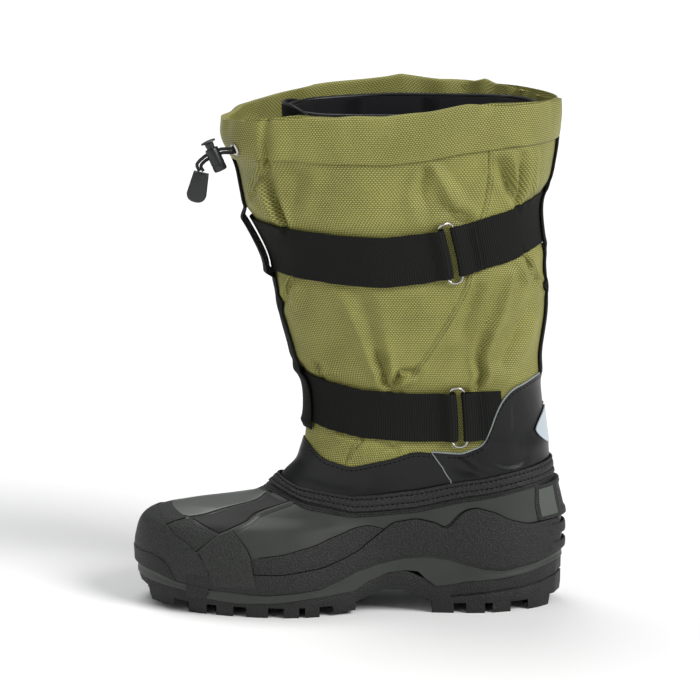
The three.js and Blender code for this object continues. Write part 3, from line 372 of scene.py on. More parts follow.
# A flat grid, laid over an array of points; its UV map is in millimetres along the cloth.
def gridPiece(name, points, uv, closed=False):
    n, m = points.shape[:2]
    bpy.ops.mesh.primitive_grid_add(x_subdivisions=m - 1, y_subdivisions=n - 1, size=1)
    piece = named(bpy.context.object, name)
    flat = np.empty(len(piece.data.vertices) * 3, np.float32)
    piece.data.vertices.foreach_get("co", flat)
    flat = flat.reshape(-1, 3)
    i = np.rint((flat[:, 1] + 0.5) * (n - 1)).astype(int)
    j = np.rint((flat[:, 0] + 0.5) * (m - 1)).astype(int)
    piece.data.vertices.foreach_set("co", toFrame(points[i, j]).astype(np.float32).ravel())
    loops = np.empty(len(piece.data.loops), np.int32)
    piece.data.loops.foreach_get("vertex_index", loops)
    piece.data.uv_layers[0].data.foreach_set("uv", uv[i, j][loops].astype(np.float32).ravel())
    piece.data.update()
    if closed:
        edited(piece, lambda: bpy.ops.mesh.remove_doubles(threshold=1e-5))
    return piece


# Cloth lengths over a grid: millimetres round and up.
def lengths(points):
    around = np.linalg.norm(np.diff(points, axis=0), axis=-1)
    up = np.linalg.norm(np.diff(points, axis=1), axis=-1)
    middle = points.shape[1] // 2
    a = np.concatenate([[0], np.cumsum(around[:, middle])])
    b = np.concatenate([np.zeros((len(points), 1)), np.cumsum(up, axis=1)], axis=1)
    return np.stack([np.broadcast_to(a[:, None], b.shape), b], axis=-1)


# The rows of a grid that runs through some stops: each a line (or a row) and the steps up to the next.
def rowsThrough(form, us, stops):
    places = [np.full(len(us), float(at)) if isinstance(at, (int, float)) else form.row(us, at) for at, *_ in stops]
    rows = [places[0][:, None]]
    for k in range(1, len(stops)):
        share = np.arange(1, stops[k - 1][1] + 1) / stops[k - 1][1]
        rows.append(places[k - 1][:, None] + (places[k] - places[k - 1])[:, None] * share)
    return np.concatenate(rows, axis=1)


# A panel on the form through some lines, at a distance that may vary from place to place.
def panel(name, us, stops, offset, closed=False, form=bootForm, thickness=0, rim=0, upright=False):
    v = rowsThrough(form, us, stops)
    u = np.broadcast_to(us[:, None], v.shape)
    base = form.at(u, v)
    distance = offset(base, u, v) if callable(offset) else np.full(v.shape, float(offset))
    points = base + form.normal(u, v) * distance[..., None]
    uv = lengths(points)
    if upright:
        uv = np.stack([uv[..., 0], points[..., 2]], axis=-1)
    piece = gridPiece(name, points, uv, closed)
    if thickness:
        thickened(piece, thickness)
    if rim:
        beveled(piece, rim)
    return smoothed(piece)


# A smooth line on the form through some (turn, row) marks.
def marked(marks, each=10):
    return curveThrough([(a, b, 0) for a, b in marks], each)[:, :2]


# A patch between two lines on the form, kept some millimetres inside them; swell bows its ends.
def patchBetween(name, first, last, offset, across=24, inset=0.0, swell=0.0, thickness=0.6, rim=0.15):
    a, b = marked(first), marked(last)
    width = np.linalg.norm(bootForm.at(*a.T) - bootForm.at(*b.T), axis=1)
    share = np.linspace(0, 1, across + 1)[None, :]
    share = inset / width[:, None] + share * (1 - 2 * inset / width[:, None])
    marks = a[:, None, :] + (b - a)[:, None, :] * share[..., None]
    ends = np.linspace(0, 1, len(a))[:, None]
    u, v = marks[..., 0], marks[..., 1] + swell * ends * (1 - (2 * share - 1) ** 2)
    points = bootForm.lifted(u, v, np.full(u.shape, float(offset)))
    if np.cross(points[1, 0] - points[0, 0], points[0, 1] - points[0, 0]) @ bootForm.normal(u[0, 0], v[0, 0]) < 0:
        points = points[:, ::-1]
    piece = gridPiece(name, points, lengths(points))
    return smoothed(beveled(thickened(piece, thickness), rim))


# The same marks on the other side of the boot.
def mirrored(marks):
    return [(1 - u, v) for u, v in marks]


# The open loops of a mesh, each as its edges, from the lowest to the highest.
def openLoops(mesh):
    uses = {}
    for face in mesh.polygons:
        for key in face.edge_keys:
            uses[key] = uses.get(key, 0) + 1
    links = {}
    for a, b in (key for key, count in uses.items() if count == 1):
        links.setdefault(a, []).append(b)
        links.setdefault(b, []).append(a)
    loops, seen = [], set()
    for first in links:
        if first in seen:
            continue
        loop, front = [], [first]
        while front:
            k = front.pop()
            if k not in seen:
                seen.add(k)
                loop.append(k)
                front.extend(links[k])
        loops.append(loop)
    return sorted(loops, key=lambda loop: sum(mesh.vertices[k].co.z for k in loop) / len(loop))


# A closed band with a finely shaped outside and a plainer inside, joined along both rims.
def walledBand(name, us, stops, offset, wall, inside=160):
    outer = panel(name, us, stops, offset, closed=True, upright=True)
    plain = [(lineAt, max(1, count // 5)) for lineAt, count in stops[:-1]] + [stops[-1]]
    inner = panel(name + "_inside", steps(0, 1, inside), plain, lambda b, u, v: offset(b, u, v) - wall, closed=True)
    edited(inner, lambda: bpy.ops.mesh.flip_normals())
    piece = joined(name, [outer, inner])
    low, low2, high, high2 = openLoops(piece.data)
    for rim in (low + low2, high + high2):
        edited(piece, lambda: bpy.ops.mesh.select_all(action="DESELECT"))
        for k in rim:
            piece.data.vertices[k].select = True
        bpy.ops.object.mode_set(mode="EDIT")
        bpy.ops.mesh.select_mode(type="EDGE")
        bpy.ops.mesh.bridge_edge_loops()
        bpy.ops.object.mode_set(mode="OBJECT")
    return smoothed(piece, 50)


def placed(name, data):
    piece = bpy.data.objects.new(name, data)
    bpy.context.collection.objects.link(piece)
    return piece


# A copy of a solid of the frame, made into one merged mesh.
def copyOf(node, name, join=1e-6, quads=True):
    piece = placed(name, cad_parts[node].data.copy())
    piece.data.materials.clear()
    edited(piece, lambda: bpy.ops.mesh.remove_doubles(threshold=join))
    if quads:
        edited(piece, lambda: bpy.ops.mesh.tris_convert_to_quads(
            face_threshold=math.radians(30), shape_threshold=math.radians(60)))
    return named(piece, name)


# Marks the sharp edges, so that a subdivision keeps them.
def creased(piece, degrees):
    def mark():
        bpy.ops.mesh.select_mode(type="EDGE")
        bpy.ops.mesh.select_all(action="DESELECT")
        bpy.ops.mesh.edges_select_sharp(sharpness=math.radians(degrees))
        bpy.ops.transform.edge_crease(value=1)

    return edited(piece, mark)


# A turned piece: a profile of (radius, height) spun about an axis from a place.
def turned(name, profile, place, axis, count=40):
    mesh = bpy.data.meshes.new(name)
    mesh.from_pydata([(r * mm, 0, h * mm) for r, h in profile], [(k, k + 1) for k in range(len(profile) - 1)], [])
    piece = placed(name, mesh)
    edited(
        piece,
        lambda: bpy.ops.mesh.spin(steps=count, angle=2 * math.pi, center=(0, 0, 0), axis=(0, 0, 1)),
        lambda: bpy.ops.mesh.select_all(action="SELECT"),
        lambda: bpy.ops.mesh.remove_doubles(threshold=1e-6),
        lambda: bpy.ops.mesh.normals_make_consistent(inside=False),
    )
    turn = Vector((0, 0, 1)).rotation_difference(Vector(axis)).to_matrix().to_4x4()
    piece.data.transform(Matrix.Translation(Vector(toFrame(place))) @ turn)
    return smoothed(named(piece, name), 30)


def joined(name, parts):
    only(parts[0])
    for part in parts[1:]:
        part.select_set(True)
    if len(parts) > 1:
        bpy.ops.object.join()
    return named(bpy.context.object, name)


# The look, the slot, the body that the piece rides on and the solids that it stands for.
def finished(piece, look, nodes=(), body="boot"):
    piece.data.materials.clear()
    piece.data.materials.append(look)
    if nodes:
        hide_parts(*nodes)
    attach(piece, body)
    return piece


# Points at even steps along a path on the surface, with the surface's normal at each.
def paced(points, normals, pitch):
    length = np.concatenate([[0], np.cumsum(np.linalg.norm(np.diff(points, axis=0), axis=1))])
    at = np.arange(pitch / 2, length[-1] - pitch / 2, pitch)

    def pick(values, beyond=0.0):
        return np.stack([np.interp(at + beyond, length, values[:, k]) for k in range(3)], axis=1)

    along = pick(points, 0.3) - pick(points, -0.3)
    along /= np.linalg.norm(along, axis=1, keepdims=True)
    return pick(points), pick(normals), along


# A round curve along some points.
def roundCurve(name, points, radius, sides, closed=False):
    curve = bpy.data.curves.new(name, "CURVE")
    curve.dimensions = "3D"
    curve.bevel_depth = radius * mm
    curve.bevel_resolution = sides
    curve.use_fill_caps = True
    spline = curve.splines.new("POLY")
    spline.points.add(len(points) - 1)
    for point, at in zip(spline.points, toFrame(points)):
        point.co = (*at, 1)
    spline.use_cyclic_u = closed
    return placed(name, curve)


# A round binding or wire along some points, as a mesh.
def tube(name, points, radius, closed=False):
    only(roundCurve(name, points, radius, 2, closed))
    bpy.ops.object.convert(target="MESH")
    return smoothed(named(bpy.context.object, name), 60)


stitchSize = {"length": 2.4, "pitch": 3.7, "thick": 0.6, "sunk": 0.2}


# Rows of stitches: one is modelled, and the rest are its copies in the same mesh.
def stitches(name, paths, look, size=stitchSize):
    bpy.ops.mesh.primitive_cylinder_add(vertices=6, radius=size["thick"], depth=size["length"])
    model = bpy.context.object
    edited(model, lambda: bpy.ops.mesh.bevel(offset=size["thick"] * 0.5, segments=1, affect="EDGES"))
    co = np.array([v.co for v in model.data.vertices])
    faces = [list(f.vertices) for f in model.data.polygons]
    bpy.data.objects.remove(model)
    vertices, polygons = [], []
    for points, normals in paths:
        spots, up, along = paced(points, normals, size["pitch"])
        up = up / np.linalg.norm(up, axis=1, keepdims=True)
        across = np.cross(up, along)
        across /= np.linalg.norm(across, axis=1, keepdims=True)
        for k, spot in enumerate(spots):
            bend = -0.06 * co[:, 2] ** 2
            part = (
                spot
                + co[:, 2:3] * along[k]
                + co[:, 0:1] * across[k]
                + (co[:, 1:2] * 0.8 + bend[:, None] - size["sunk"]) * up[k]
            )
            start = len(vertices)
            vertices.extend(toFrame(part).tolist())
            polygons.extend([[start + i for i in face] for face in faces])
    mesh = bpy.data.meshes.new(name)
    mesh.from_pydata(vertices, [], polygons)
    mesh.update()
    piece = placed(name, mesh)
    edited(piece, lambda: bpy.ops.mesh.normals_make_consistent(inside=False))
    only(piece)
    bpy.ops.object.shade_smooth()
    return finished(piece, look)


# A path on the form along a line, with its normals, at a distance that may vary.
def pathOn(us, lineAt, offset, form=bootForm):
    v = form.row(us, lineAt)
    base = form.at(us, v)
    normals = form.normal(us, v)
    distance = offset(base, us, v) if callable(offset) else np.full(us.shape, float(offset))
    return base + normals * distance[..., None], normals


# A socket of a node tree that can be reckoned with.
class Shade:
    def __init__(self, tree, socket=None):
        self.tree = tree
        self.socket = socket

    def node(self, kind, settings=None, inputs=None, out=0):
        made = self.tree.nodes.new(kind)
        for key, value in (settings or {}).items():
            if key == "stops":
                ramp = made.color_ramp.elements
                while len(ramp) < len(value):
                    ramp.new(0.5)
                for stop, (place, color) in zip(ramp, value):
                    stop.position = place
                    stop.color = color
            else:
                setattr(made, key, value)
        for key, value in (inputs or {}).items():
            if isinstance(value, Shade):
                self.tree.links.new(value.socket, made.inputs[key])
            else:
                made.inputs[key].default_value = value
        return Shade(self.tree, made.outputs[out])

    def maths(self, operation, *others):
        return self.node("ShaderNodeMath", {"operation": operation}, dict(enumerate((self, *others))))

    def __add__(self, other):
        return self.maths("ADD", other)

    def __sub__(self, other):
        return self.maths("SUBTRACT", other)

    def __rsub__(self, other):
        return self.node("ShaderNodeMath", {"operation": "SUBTRACT"}, {0: other, 1: self})

    def __mul__(self, other):
        return self.maths("MULTIPLY", other)

    def __pow__(self, other):
        return self.maths("POWER", other)

    __radd__ = __add__
    __rmul__ = __mul__

    def fract(self):
        return self.maths("FRACT")

    def floor(self):
        return self.maths("FLOOR")

    # 0 at the edges of a cell and 1 in its middle
    def hump(self):
        return 1 - (self.fract() * 2 - 1) ** 2

    def over(self, low, high, first=0.0, last=1.0):
        return self.node("ShaderNodeMapRange", {"interpolation_type": "SMOOTHSTEP"},
                         {"Value": self, "From Min": low, "From Max": high, "To Min": first, "To Max": last})


def mixed(factor, first, second):
    return factor.node("ShaderNodeMix", {"data_type": "RGBA"}, {0: factor, 6: first, 7: second}, out=2)


def rgb(red, green, blue):
    return (red, green, blue, 1)


# A material: constants go straight on the shader, varying values come from the build function.
def material(name, build, **constants):
    made = bpy.data.materials.new(name)
    made.use_nodes = True
    tree = made.node_tree
    shader = tree.nodes["Principled BSDF"]
    for key, value in constants.items():
        shader.inputs[key.replace("_", " ")].default_value = value
    start = Shade(tree)
    for key, value in build(start).items():
        if key == "Bump":
            value = start.node("ShaderNodeBump", {}, {"Strength": value[1], "Distance": value[2], "Height": value[0]})
            key = "Normal"
        tree.links.new(value.socket, shader.inputs[key])
    return made


# Object coordinates, in metres.
def place(start):
    return start.node("ShaderNodeTexCoord", out=3)


# Cloth coordinates: millimetres round and up.
def cloth(start):
    parts = start.node("ShaderNodeTexCoord", out=2)
    return [parts.node("ShaderNodeSeparateXYZ", {}, {0: parts}, out=k) for k in range(2)]


def noise(start, scale, detail=2, roughness=0.5):
    return start.node("ShaderNodeTexNoise", {}, {
        "Vector": place(start), "Scale": scale, "Detail": detail, "Roughness": roughness})


def cells(start, scale, feature="F1"):
    return start.node("ShaderNodeTexVoronoi", {"feature": feature}, {"Vector": place(start), "Scale": scale})


# dark is the painted shade in the weave's gaps, light the painted highlight on its thread tops
nylonLook = {"yarn": 2.1, "pick": 1.4, "dark": rgb(0.034, 0.033, 0.007), "light": rgb(0.39, 0.375, 0.098)}


def nylonBuild(start):
    x, y = cloth(start)
    row = y * (1 / nylonLook["pick"])
    across = x * (1 / nylonLook["yarn"]) + row.floor() * 0.5
    thread = across.hump() * row.hump()
    blotch = noise(start, 26, 3)
    fibre = noise(start, 900, 2)
    # the thread tops are painted lighter and the gaps darker: painted highlight and painted shade over the weave;
    # blotch and fibre add random tone
    tone = thread * 0.66 + blotch * 0.3 + fibre * 0.2 - 0.06
    return {
        "Base Color": mixed(tone.over(0, 1), nylonLook["dark"], nylonLook["light"]),
        "Roughness": thread * -0.12 + 0.62,
        "Bump": (thread + fibre * 0.25, 0.7, 0.0003),
    }


def leatherBuild(start):
    grain = cells(start, 1150, "DISTANCE_TO_EDGE")
    fine = grain.over(0, 0.35)
    broad = noise(start, 60, 3, 0.55)
    worn = noise(start, 18, 4, 0.6)
    return {
        "Base Color": mixed(broad * 0.5 + worn * 0.35, rgb(0.0008, 0.0009, 0.0009), rgb(0.0045, 0.0048, 0.0048)),
        "Roughness": broad * 0.12 + worn * 0.08 + 0.25,
        "Bump": (fine * 0.35 + broad, 0.35, 0.0003),
    }


def rubberBuild(start, depth=1.0, gloss=0.0):
    broad = noise(start, 24, 4, 0.6)
    fine = noise(start, 700, 2)
    dark = rgb(*(depth * part for part in (0.0145, 0.0165, 0.014)))
    light = rgb(*(depth * part for part in (0.034, 0.0375, 0.033)))
    return {
        "Base Color": mixed(broad, dark, light),
        "Roughness": broad * 0.16 + fine * 0.06 + (0.37 - gloss),
        "Bump": (fine, 0.12, 0.0002),
    }


def pebbleBuild(start, depth=1.0):
    pebbles = cells(start, 950, "SMOOTH_F1")
    broad = noise(start, 30, 4, 0.6)
    rise = 1 - pebbles.over(0.05, 0.75)
    return {
        "Base Color": mixed(rise * 0.6 + broad * 0.4, rgb(*(depth * part for part in (0.005, 0.0056, 0.005))),
                            rgb(*(depth * part for part in (0.021, 0.0226, 0.0205)))),
        "Roughness": broad * 0.14 + 0.5,
        "Bump": (rise, 0.9, 0.0005),
    }


def soleBuild(start):
    base = pebbleBuild(start)
    scuff = noise(start, 90, 5, 0.7).over(0.55, 0.75)
    low = place(start)
    height = low.node("ShaderNodeSeparateXYZ", {}, {0: low}, out=2).over(0.014, 0.0, 0, 0.5)
    color = mixed(noise(start, 40, 3), rgb(0.006, 0.0066, 0.006), rgb(0.0165, 0.018, 0.016))
    base["Base Color"] = mixed(scuff * height, color, rgb(0.06, 0.062, 0.057))
    return base


webbingLook = {"rib": 1.75, "pick": 0.9}


def webbingBuild(start):
    x, y = cloth(start)
    rib = (x * (1 / webbingLook["rib"])).hump()
    pick = (y * (1 / webbingLook["pick"]) + (x * (1 / webbingLook["rib"])).floor() * 0.5).hump()
    lint = noise(start, 500, 3)
    # the rib and pick tops are painted lighter than the hollows: a painted highlight on each rib; lint adds random
    # tone
    return {
        "Base Color": mixed(rib * 0.55 + pick * 0.2 + lint * 0.25, rgb(0.0004, 0.0004, 0.0004),
                            rgb(0.0145, 0.0145, 0.0135)),
        "Roughness": lint * 0.2 + 0.62,
        "Bump": (rib + pick * 0.35 + lint * 0.15, 0.7, 0.00035),
    }


def feltBuild(start):
    nap = noise(start, 1300, 4, 0.75)
    broad = noise(start, 45, 3)
    return {
        "Base Color": mixed(nap * 0.6 + broad * 0.4, rgb(0.0015, 0.0015, 0.002), rgb(0.009, 0.009, 0.0105)),
        "Bump": (nap, 0.8, 0.0006),
    }


def steelBuild(start):
    dull = noise(start, 300, 3)
    return {
        "Base Color": mixed(dull, rgb(0.42, 0.41, 0.39), rgb(0.62, 0.61, 0.59)),
        "Roughness": dull * 0.14 + 0.16,
    }


def plasticBuild(start):
    broad = noise(start, 200, 3)
    return {
        "Base Color": mixed(broad, rgb(0.004, 0.0048, 0.0052), rgb(0.009, 0.0105, 0.011)),
        "Roughness": broad * 0.12 + 0.26,
        "Bump": (noise(start, 1500, 2), 0.08, 0.0001),
    }


# Two tones of one fine noise, raised by the same noise: threads and cut edges.
def fibreBuild(start, dark, light, scale=2600, detail=2, strength=0.5):
    fibre = noise(start, scale, detail)
    return {"Base Color": mixed(fibre, rgb(*dark), rgb(*light)), "Bump": (fibre, strength, 0.0002)}


def reflectorBuild(start):
    beads = cells(start, 2600)
    broad = noise(start, 70, 2)
    return {
        "Base Color": mixed(beads * 0.5 + broad * 0.5, rgb(0.33, 0.39, 0.42), rgb(0.5, 0.56, 0.6)),
        "Roughness": broad * 0.1 + 0.3,
        "Bump": (beads, 0.15, 0.0001),
    }


def braidBuild(start):
    braid = cells(start, 1500)
    return {
        "Base Color": mixed(braid, rgb(0.012, 0.012, 0.012), rgb(0.002, 0.002, 0.002)),
        "Bump": (1 - braid, 1.0, 0.0006),
    }


nylon = material("nylon", nylonBuild, Sheen_Weight=0.06, Sheen_Roughness=0.4, Specular_IOR_Level=0.3)
leather = material("leather", leatherBuild, Specular_IOR_Level=0.3)
rubber = material("rubber", rubberBuild, Specular_IOR_Level=0.4)
# the shell's rubber painted darker: painted shade, for the instep's middle panels
shadedRubber = material("painted_shade_rubber", lambda start: rubberBuild(start, 0.3, -0.1), Specular_IOR_Level=0.3)
# the shell's rubber painted lighter and glossier: a painted highlight, for the instep's crown and the tab's facets
highlightRubber = material("painted_highlight_rubber", lambda start: rubberBuild(start, 2.4, 0.1), Specular_IOR_Level=0.5)
# near black, for the grooves and the eyelet's hole: painted shade
shadeBlack = material("painted_shade_black", lambda start: rubberBuild(start, 0.05, -0.3), Specular_IOR_Level=0.1)
pebble = material("pebbled_rubber", pebbleBuild, Specular_IOR_Level=0.3)
toePebble = material("toe_pebble", lambda start: pebbleBuild(start, 1.5), Specular_IOR_Level=0.3)
soleRubber = material("sole_rubber", soleBuild, Specular_IOR_Level=0.3)
webbing = material("webbing", webbingBuild, Specular_IOR_Level=0.1)
felt = material("felt", feltBuild, Roughness=0.95, Specular_IOR_Level=0.15, Sheen_Weight=0.03)
steel = material("steel", steelBuild, Metallic=1.0)
plastic = material("moulded_plastic", plasticBuild)
thread = material("black_thread", lambda start: fibreBuild(start, (0.0003,) * 3, (0.003,) * 3), Roughness=0.7,
                  Specular_IOR_Level=0.1)
oliveThread = material("olive_thread", lambda start: fibreBuild(start, (0.03, 0.028, 0.009), (0.12, 0.112, 0.045)),
                       Roughness=0.7)
cutEdge = material("cut_edge", lambda start: fibreBuild(start, (0.12, 0.135, 0.135), (0.3, 0.33, 0.33), 900, 3, 0.4),
                   Roughness=0.7)
reflective = material("reflector", reflectorBuild, Metallic=0.2)
braid = material("braid", braidBuild, Roughness=0.75)
print("stage: finishes ready")

# The drawcord: the cord lock, the clip and the two strands.
lock = {"barrel": 10, "length": 17.4, "plunger": 6.6, "head": 11.4, "neck": 4.6, "travel": 3.5, "cord": 2.5}
clearance = 0.3
hemOuter = clearance + 2.4
eyeletLevel = level(instep + 0.8654 * shaftHeight)
eyeletTurn = bootForm.turn(-0.252 * boot["length"], eyeletLevel, -1)
eyeletRow = float(bootForm.row(np.array(eyeletTurn), eyeletLevel))
eyeletNormal = bootForm.normal(eyeletTurn, eyeletRow)


def eyeletAt(offset):
    return bootForm.at(eyeletTurn, eyeletRow) + eyeletNormal * offset


lockAxis = np.array([-0.408, 0, 0.913]) / np.linalg.norm([-0.408, 0, 0.913])
lockAcross = np.array([lockAxis[2], 0, -lockAxis[0]])
lockCentre = eyeletAt(hemOuter + 0.3) + np.array([-1.55, -0.15, -0.38]) * lock["barrel"]


def onLock(h, out=0.0):
    return lockCentre + lockAxis * h + lockAcross * out


strandPitch = lock["cord"] + 0.4
slotHalf = strandPitch / 2 + lock["cord"] / 2 + 0.3
barrelTop = slotHalf + 1.7
barrelBottom = barrelTop - lock["length"]
clipTop = lockCentre + np.array([-0.91 * lock["barrel"], 0, -0.75 * lock["length"]])


def strand(name, side):
    across = side * strandPitch / 2
    beside = np.array([0, 0, across])
    through = lockAxis * across
    radius = lock["barrel"] / 2
    path = curveThrough([
        eyeletAt(0.6) + beside,
        eyeletAt(hemOuter + 3) + beside,
        onLock(0, radius + 1.5) + through,
        onLock(0, radius / 2) + through,
        onLock(0, -radius / 2) + through,
        onLock(0, -radius - 1.5) + through,
        [clipTop[0] - 1.6 - across, clipTop[1], clipTop[2] + 5.5 + across * 0.4],
        [clipTop[0] - across, clipTop[1], clipTop[2] + 0.9 + across * 0.05],
    ], 5)
    length = float(np.linalg.norm(np.diff(path, axis=0), axis=1).sum()) * mm
    return roundCurve(name, path, lock["cord"] / 2, 3), path, length


print("stage: cords")
clip = smoothed(beveled(copyOf("cord_end", "end_clip", quads=False), 0.7, 2, 30), 45)
finished(clip, plastic, ["cord_end"])
barrel = turned("lock_barrel", [
    (0, barrelBottom), (4.2, barrelBottom), (4.8, barrelBottom + 0.5), (5, barrelBottom + 1.1),
    (5, barrelBottom + 4.4), (4.8, barrelBottom + 4.6), (4.8, barrelBottom + 5.2), (5, barrelBottom + 5.4),
    (5, barrelTop - 1.2), (4.85, barrelTop - 0.4), (4.5, barrelTop), (3.7, barrelTop), (3.6, barrelTop - 0.3),
    (3.6, barrelBottom + 1.8), (0, barrelBottom + 1.8),
], lockCentre, lockAxis)


# A slot across the lock for the strands, between two heights on its axis.
def slotted(piece, low, high):
    bpy.ops.object.select_all(action="DESELECT")
    bpy.ops.mesh.primitive_cube_add(size=1)
    slot = bpy.context.object
    for vertex in slot.data.vertices:
        x, y, z = vertex.co
        sideways = np.array([0, y * (lock["cord"] + 0.6), 0])
        vertex.co = toFrame(onLock((low + high) / 2 + z * (high - low), x * 30) + sideways)
    edited(slot, lambda: bpy.ops.mesh.normals_make_consistent(inside=False))
    modified(piece, "BOOLEAN", operation="DIFFERENCE", solver="EXACT", object=slot)
    bpy.data.objects.remove(slot)
    return smoothed(piece, 30)


finished(slotted(barrel, -slotHalf, slotHalf), plastic, ["toggle_body"])
headLow = barrelTop + lock["neck"]
plungerLow = barrelBottom + 1.8 + 0.3 + lock["travel"]
plunger = turned("lock_plunger", [
    (0, plungerLow), (3.3, plungerLow), (3.3, headLow - 0.4), (3.6, headLow), (5.3, headLow + 0.1),
    (5.7, headLow + 0.45), (5.6, headLow + 0.95), (5.0, headLow + 1.3), (3.6, headLow + 1.55), (1.8, headLow + 1.6),
    (0, headLow + 1.6),
], lockCentre, lockAxis)
slotted(plunger, -slotHalf, slotHalf + lock["travel"])
finished(plunger, plastic, ["toggle_plunger"], body="plunger")
for name, node, side in (("drawcord_outer", "cord_outer", 1), ("drawcord_inner", "cord_inner", -1)):
    piece, path, length = strand(name, side)
    finished(piece, braid, [node])

# Folds of the shaft, at (x, z, half width, height) on one side: below 0 is a trough, above it a ridge.
outerFolds = [
    [(-46, 286, 2.4, -4.6), (-48, 294, 2.8, -4.4), (-53, 303, 3.4, -3.6), (-58, 316, 4.2, -2.4), (-60, 332, 5, -1.4)],
    [(-51, 287, 4, 1.6), (-59, 306, 6, 2.2), (-66, 322, 6, 1.2)],
    [(-44, 288, 4, 0.8), (-41, 306, 6, -0.9), (-38, 329, 8, -1.6)],
    [(-60, 334, 3.5, -1.6), (-68, 320, 4, -1.8), (-72, 310, 4, -1.0)],
    [(-60, 368, 3, -1.2), (-60, 337, 3.4, -2.2)],
    [(-52, 366, 6, 1.0), (-51, 342, 6, 1.0)],
    [(54, 331, 4, -1.6), (52, 316, 6, -2.2), (57, 303, 7, -1.4)],
    [(62, 331, 5, 1.2), (75, 306, 7, 1.6)],
    [(60, 321, 6, -1.0), (68, 307, 7, -2.0), (82, 294, 6, -3.0)],
    [(125, 340, 4, -1.4), (123, 319, 4.2, -2.4), (122, 301, 2.8, -4.0)],
    [(107, 336, 5, -1.8), (115, 319, 5, -2.0), (121, 303, 3, -2.4)],
    [(116, 340, 4, 1.6), (119, 314, 3.4, 1.8)],
    [(134, 338, 5, 1.2), (131, 306, 5, 1.4)],
    [(125, 271, 2.4, -2.6), (133, 253, 2.4, -2.6), (142, 240, 3, -1.6)],
    [(121, 264, 4, 1.2), (128, 248, 4, 1.2)],
    [(92, 245, 5, -1.4), (87, 231, 6, -1.9), (81, 212, 6, -1.0)],
    [(118, 254, 4, 1.0), (111, 228, 5, 2.0), (103, 209, 4.5, 2.0), (98, 194, 4, 0.8)],
    [(99, 208, 4, -1.4), (94, 192, 4, -2.2), (96, 180, 3.4, -2.8), (92, 169, 3, -3.0)],
    [(130, 226, 8, -1.6), (120, 206, 9, -3.4), (112, 190, 7, -1.8)],
    [(-41, 251, 2.4, -3.2), (-46, 238, 2.8, -2.8), (-50, 226, 4, -0.8)],
    [(-36, 250, 4, 1.0), (-40, 232, 5, 1.2)],
    [(-14, 248, 7, 0.5), (1, 226, 8, 1.2), (14, 194, 6, 0.8)],
    [(6, 246, 7, -0.8), (14, 216, 7, -1.3), (21, 190, 5, -2.0)],
    [(27, 168, 3.2, -3.6), (24, 183, 4.2, -2.8), (22, 194, 5, -1.2)],
    [(30, 169, 2.8, -2.8), (36, 180, 3.2, -2.4), (48, 183, 4, -0.8)],
    [(38, 172, 3.4, 1.6), (42, 176, 4, 1.2)],
    [(-20, 174, 2.6, -2.8), (-24, 183, 3.4, -1.6)],
    [(-30, 178, 4, 1.2), (-12, 180, 4, 1.0)],
    [(-4, 136, 2.6, -1.8), (-10, 133, 2.6, -1.6), (-18, 129, 3, -0.8)],
    [(-26, 131, 3, 1.2), (-2, 127, 3.4, 1.0), (18, 124, 3, 0.6)],
    [(20, 131, 3, -1.6), (34, 124, 3, -1.4)],
]
innerFolds = [
    [(-46, 287, 3, -4.0), (-55, 306, 4, -2.6), (-60, 330, 5, -1.2)],
    [(-20, 330, 6, -1.6), (-8, 308, 6, -2.0), (4, 292, 4, -2.6)],
    [(34, 332, 7, 1.4), (42, 300, 6, 1.8)],
    [(72, 336, 6, -1.8), (80, 312, 5, -2.4), (82, 297, 3.4, -3.2)],
    [(112, 336, 5, -1.6), (117, 305, 3.4, -3.0)],
    [(-41, 250, 3, -2.6), (-26, 216, 6, -1.6), (-18, 186, 5, -1.6)],
    [(10, 244, 7, 1.2), (22, 208, 8, 1.6), (28, 174, 4, 1.0)],
    [(62, 246, 4, -1.8), (66, 210, 7, -1.8), (60, 170, 3.2, -3.0)],
    [(102, 252, 4, -2.4), (108, 216, 8, -2.6), (98, 172, 3.4, -2.6)],
    [(124, 258, 3, -2.4), (136, 240, 4, -1.6)],
    [(-26, 131, 3, 1.2), (6, 126, 3.4, 0.8)],
]
folds = [{"side": side, "at": at} for side, some in ((-1, outerFolds), (1, innerFolds)) for at in some]
# The seam of each side: the hinder panel is lapped over the front one.
seamMarks = [
    [(99, 346), (99, 321), (94, 296), (85, 256), (80, 240), (68, 217), (54, 194), (38, 170)],
    [(12, 134), (2, 122), (-3, 112)],
]
seams = [{"side": side, "at": at} for side in (-1, 1) for at in seamMarks]
lap = {"trough": 0.9, "depth": -1.1, "ridge": 2.6, "height": 0.75, "stitches": 3.2}


def onSide(x, z, side):
    turn = bootForm.turn(x, level(z), side)
    return bootForm.at(turn, bootForm.row(np.array(turn), level(z)))


for fold in folds:
    marks = curveThrough([(x, z, 0) for x, z, _, _ in fold["at"]], 4)
    share = np.linspace(0, len(fold["at"]) - 1, len(marks))
    fold["width"] = np.interp(share, range(len(fold["at"])), [mark[2] for mark in fold["at"]])
    fold["depth"] = np.interp(share, range(len(fold["at"])), [mark[3] for mark in fold["at"]])
    fold["path"] = np.array([onSide(x, z, fold["side"]) for x, z, _ in marks])
for seam in seams:
    marks = curveThrough([(x, z, 0) for x, z in seam["at"]], 8)
    seam["path"] = np.array([onSide(x, z, seam["side"]) for x, z, _ in marks])


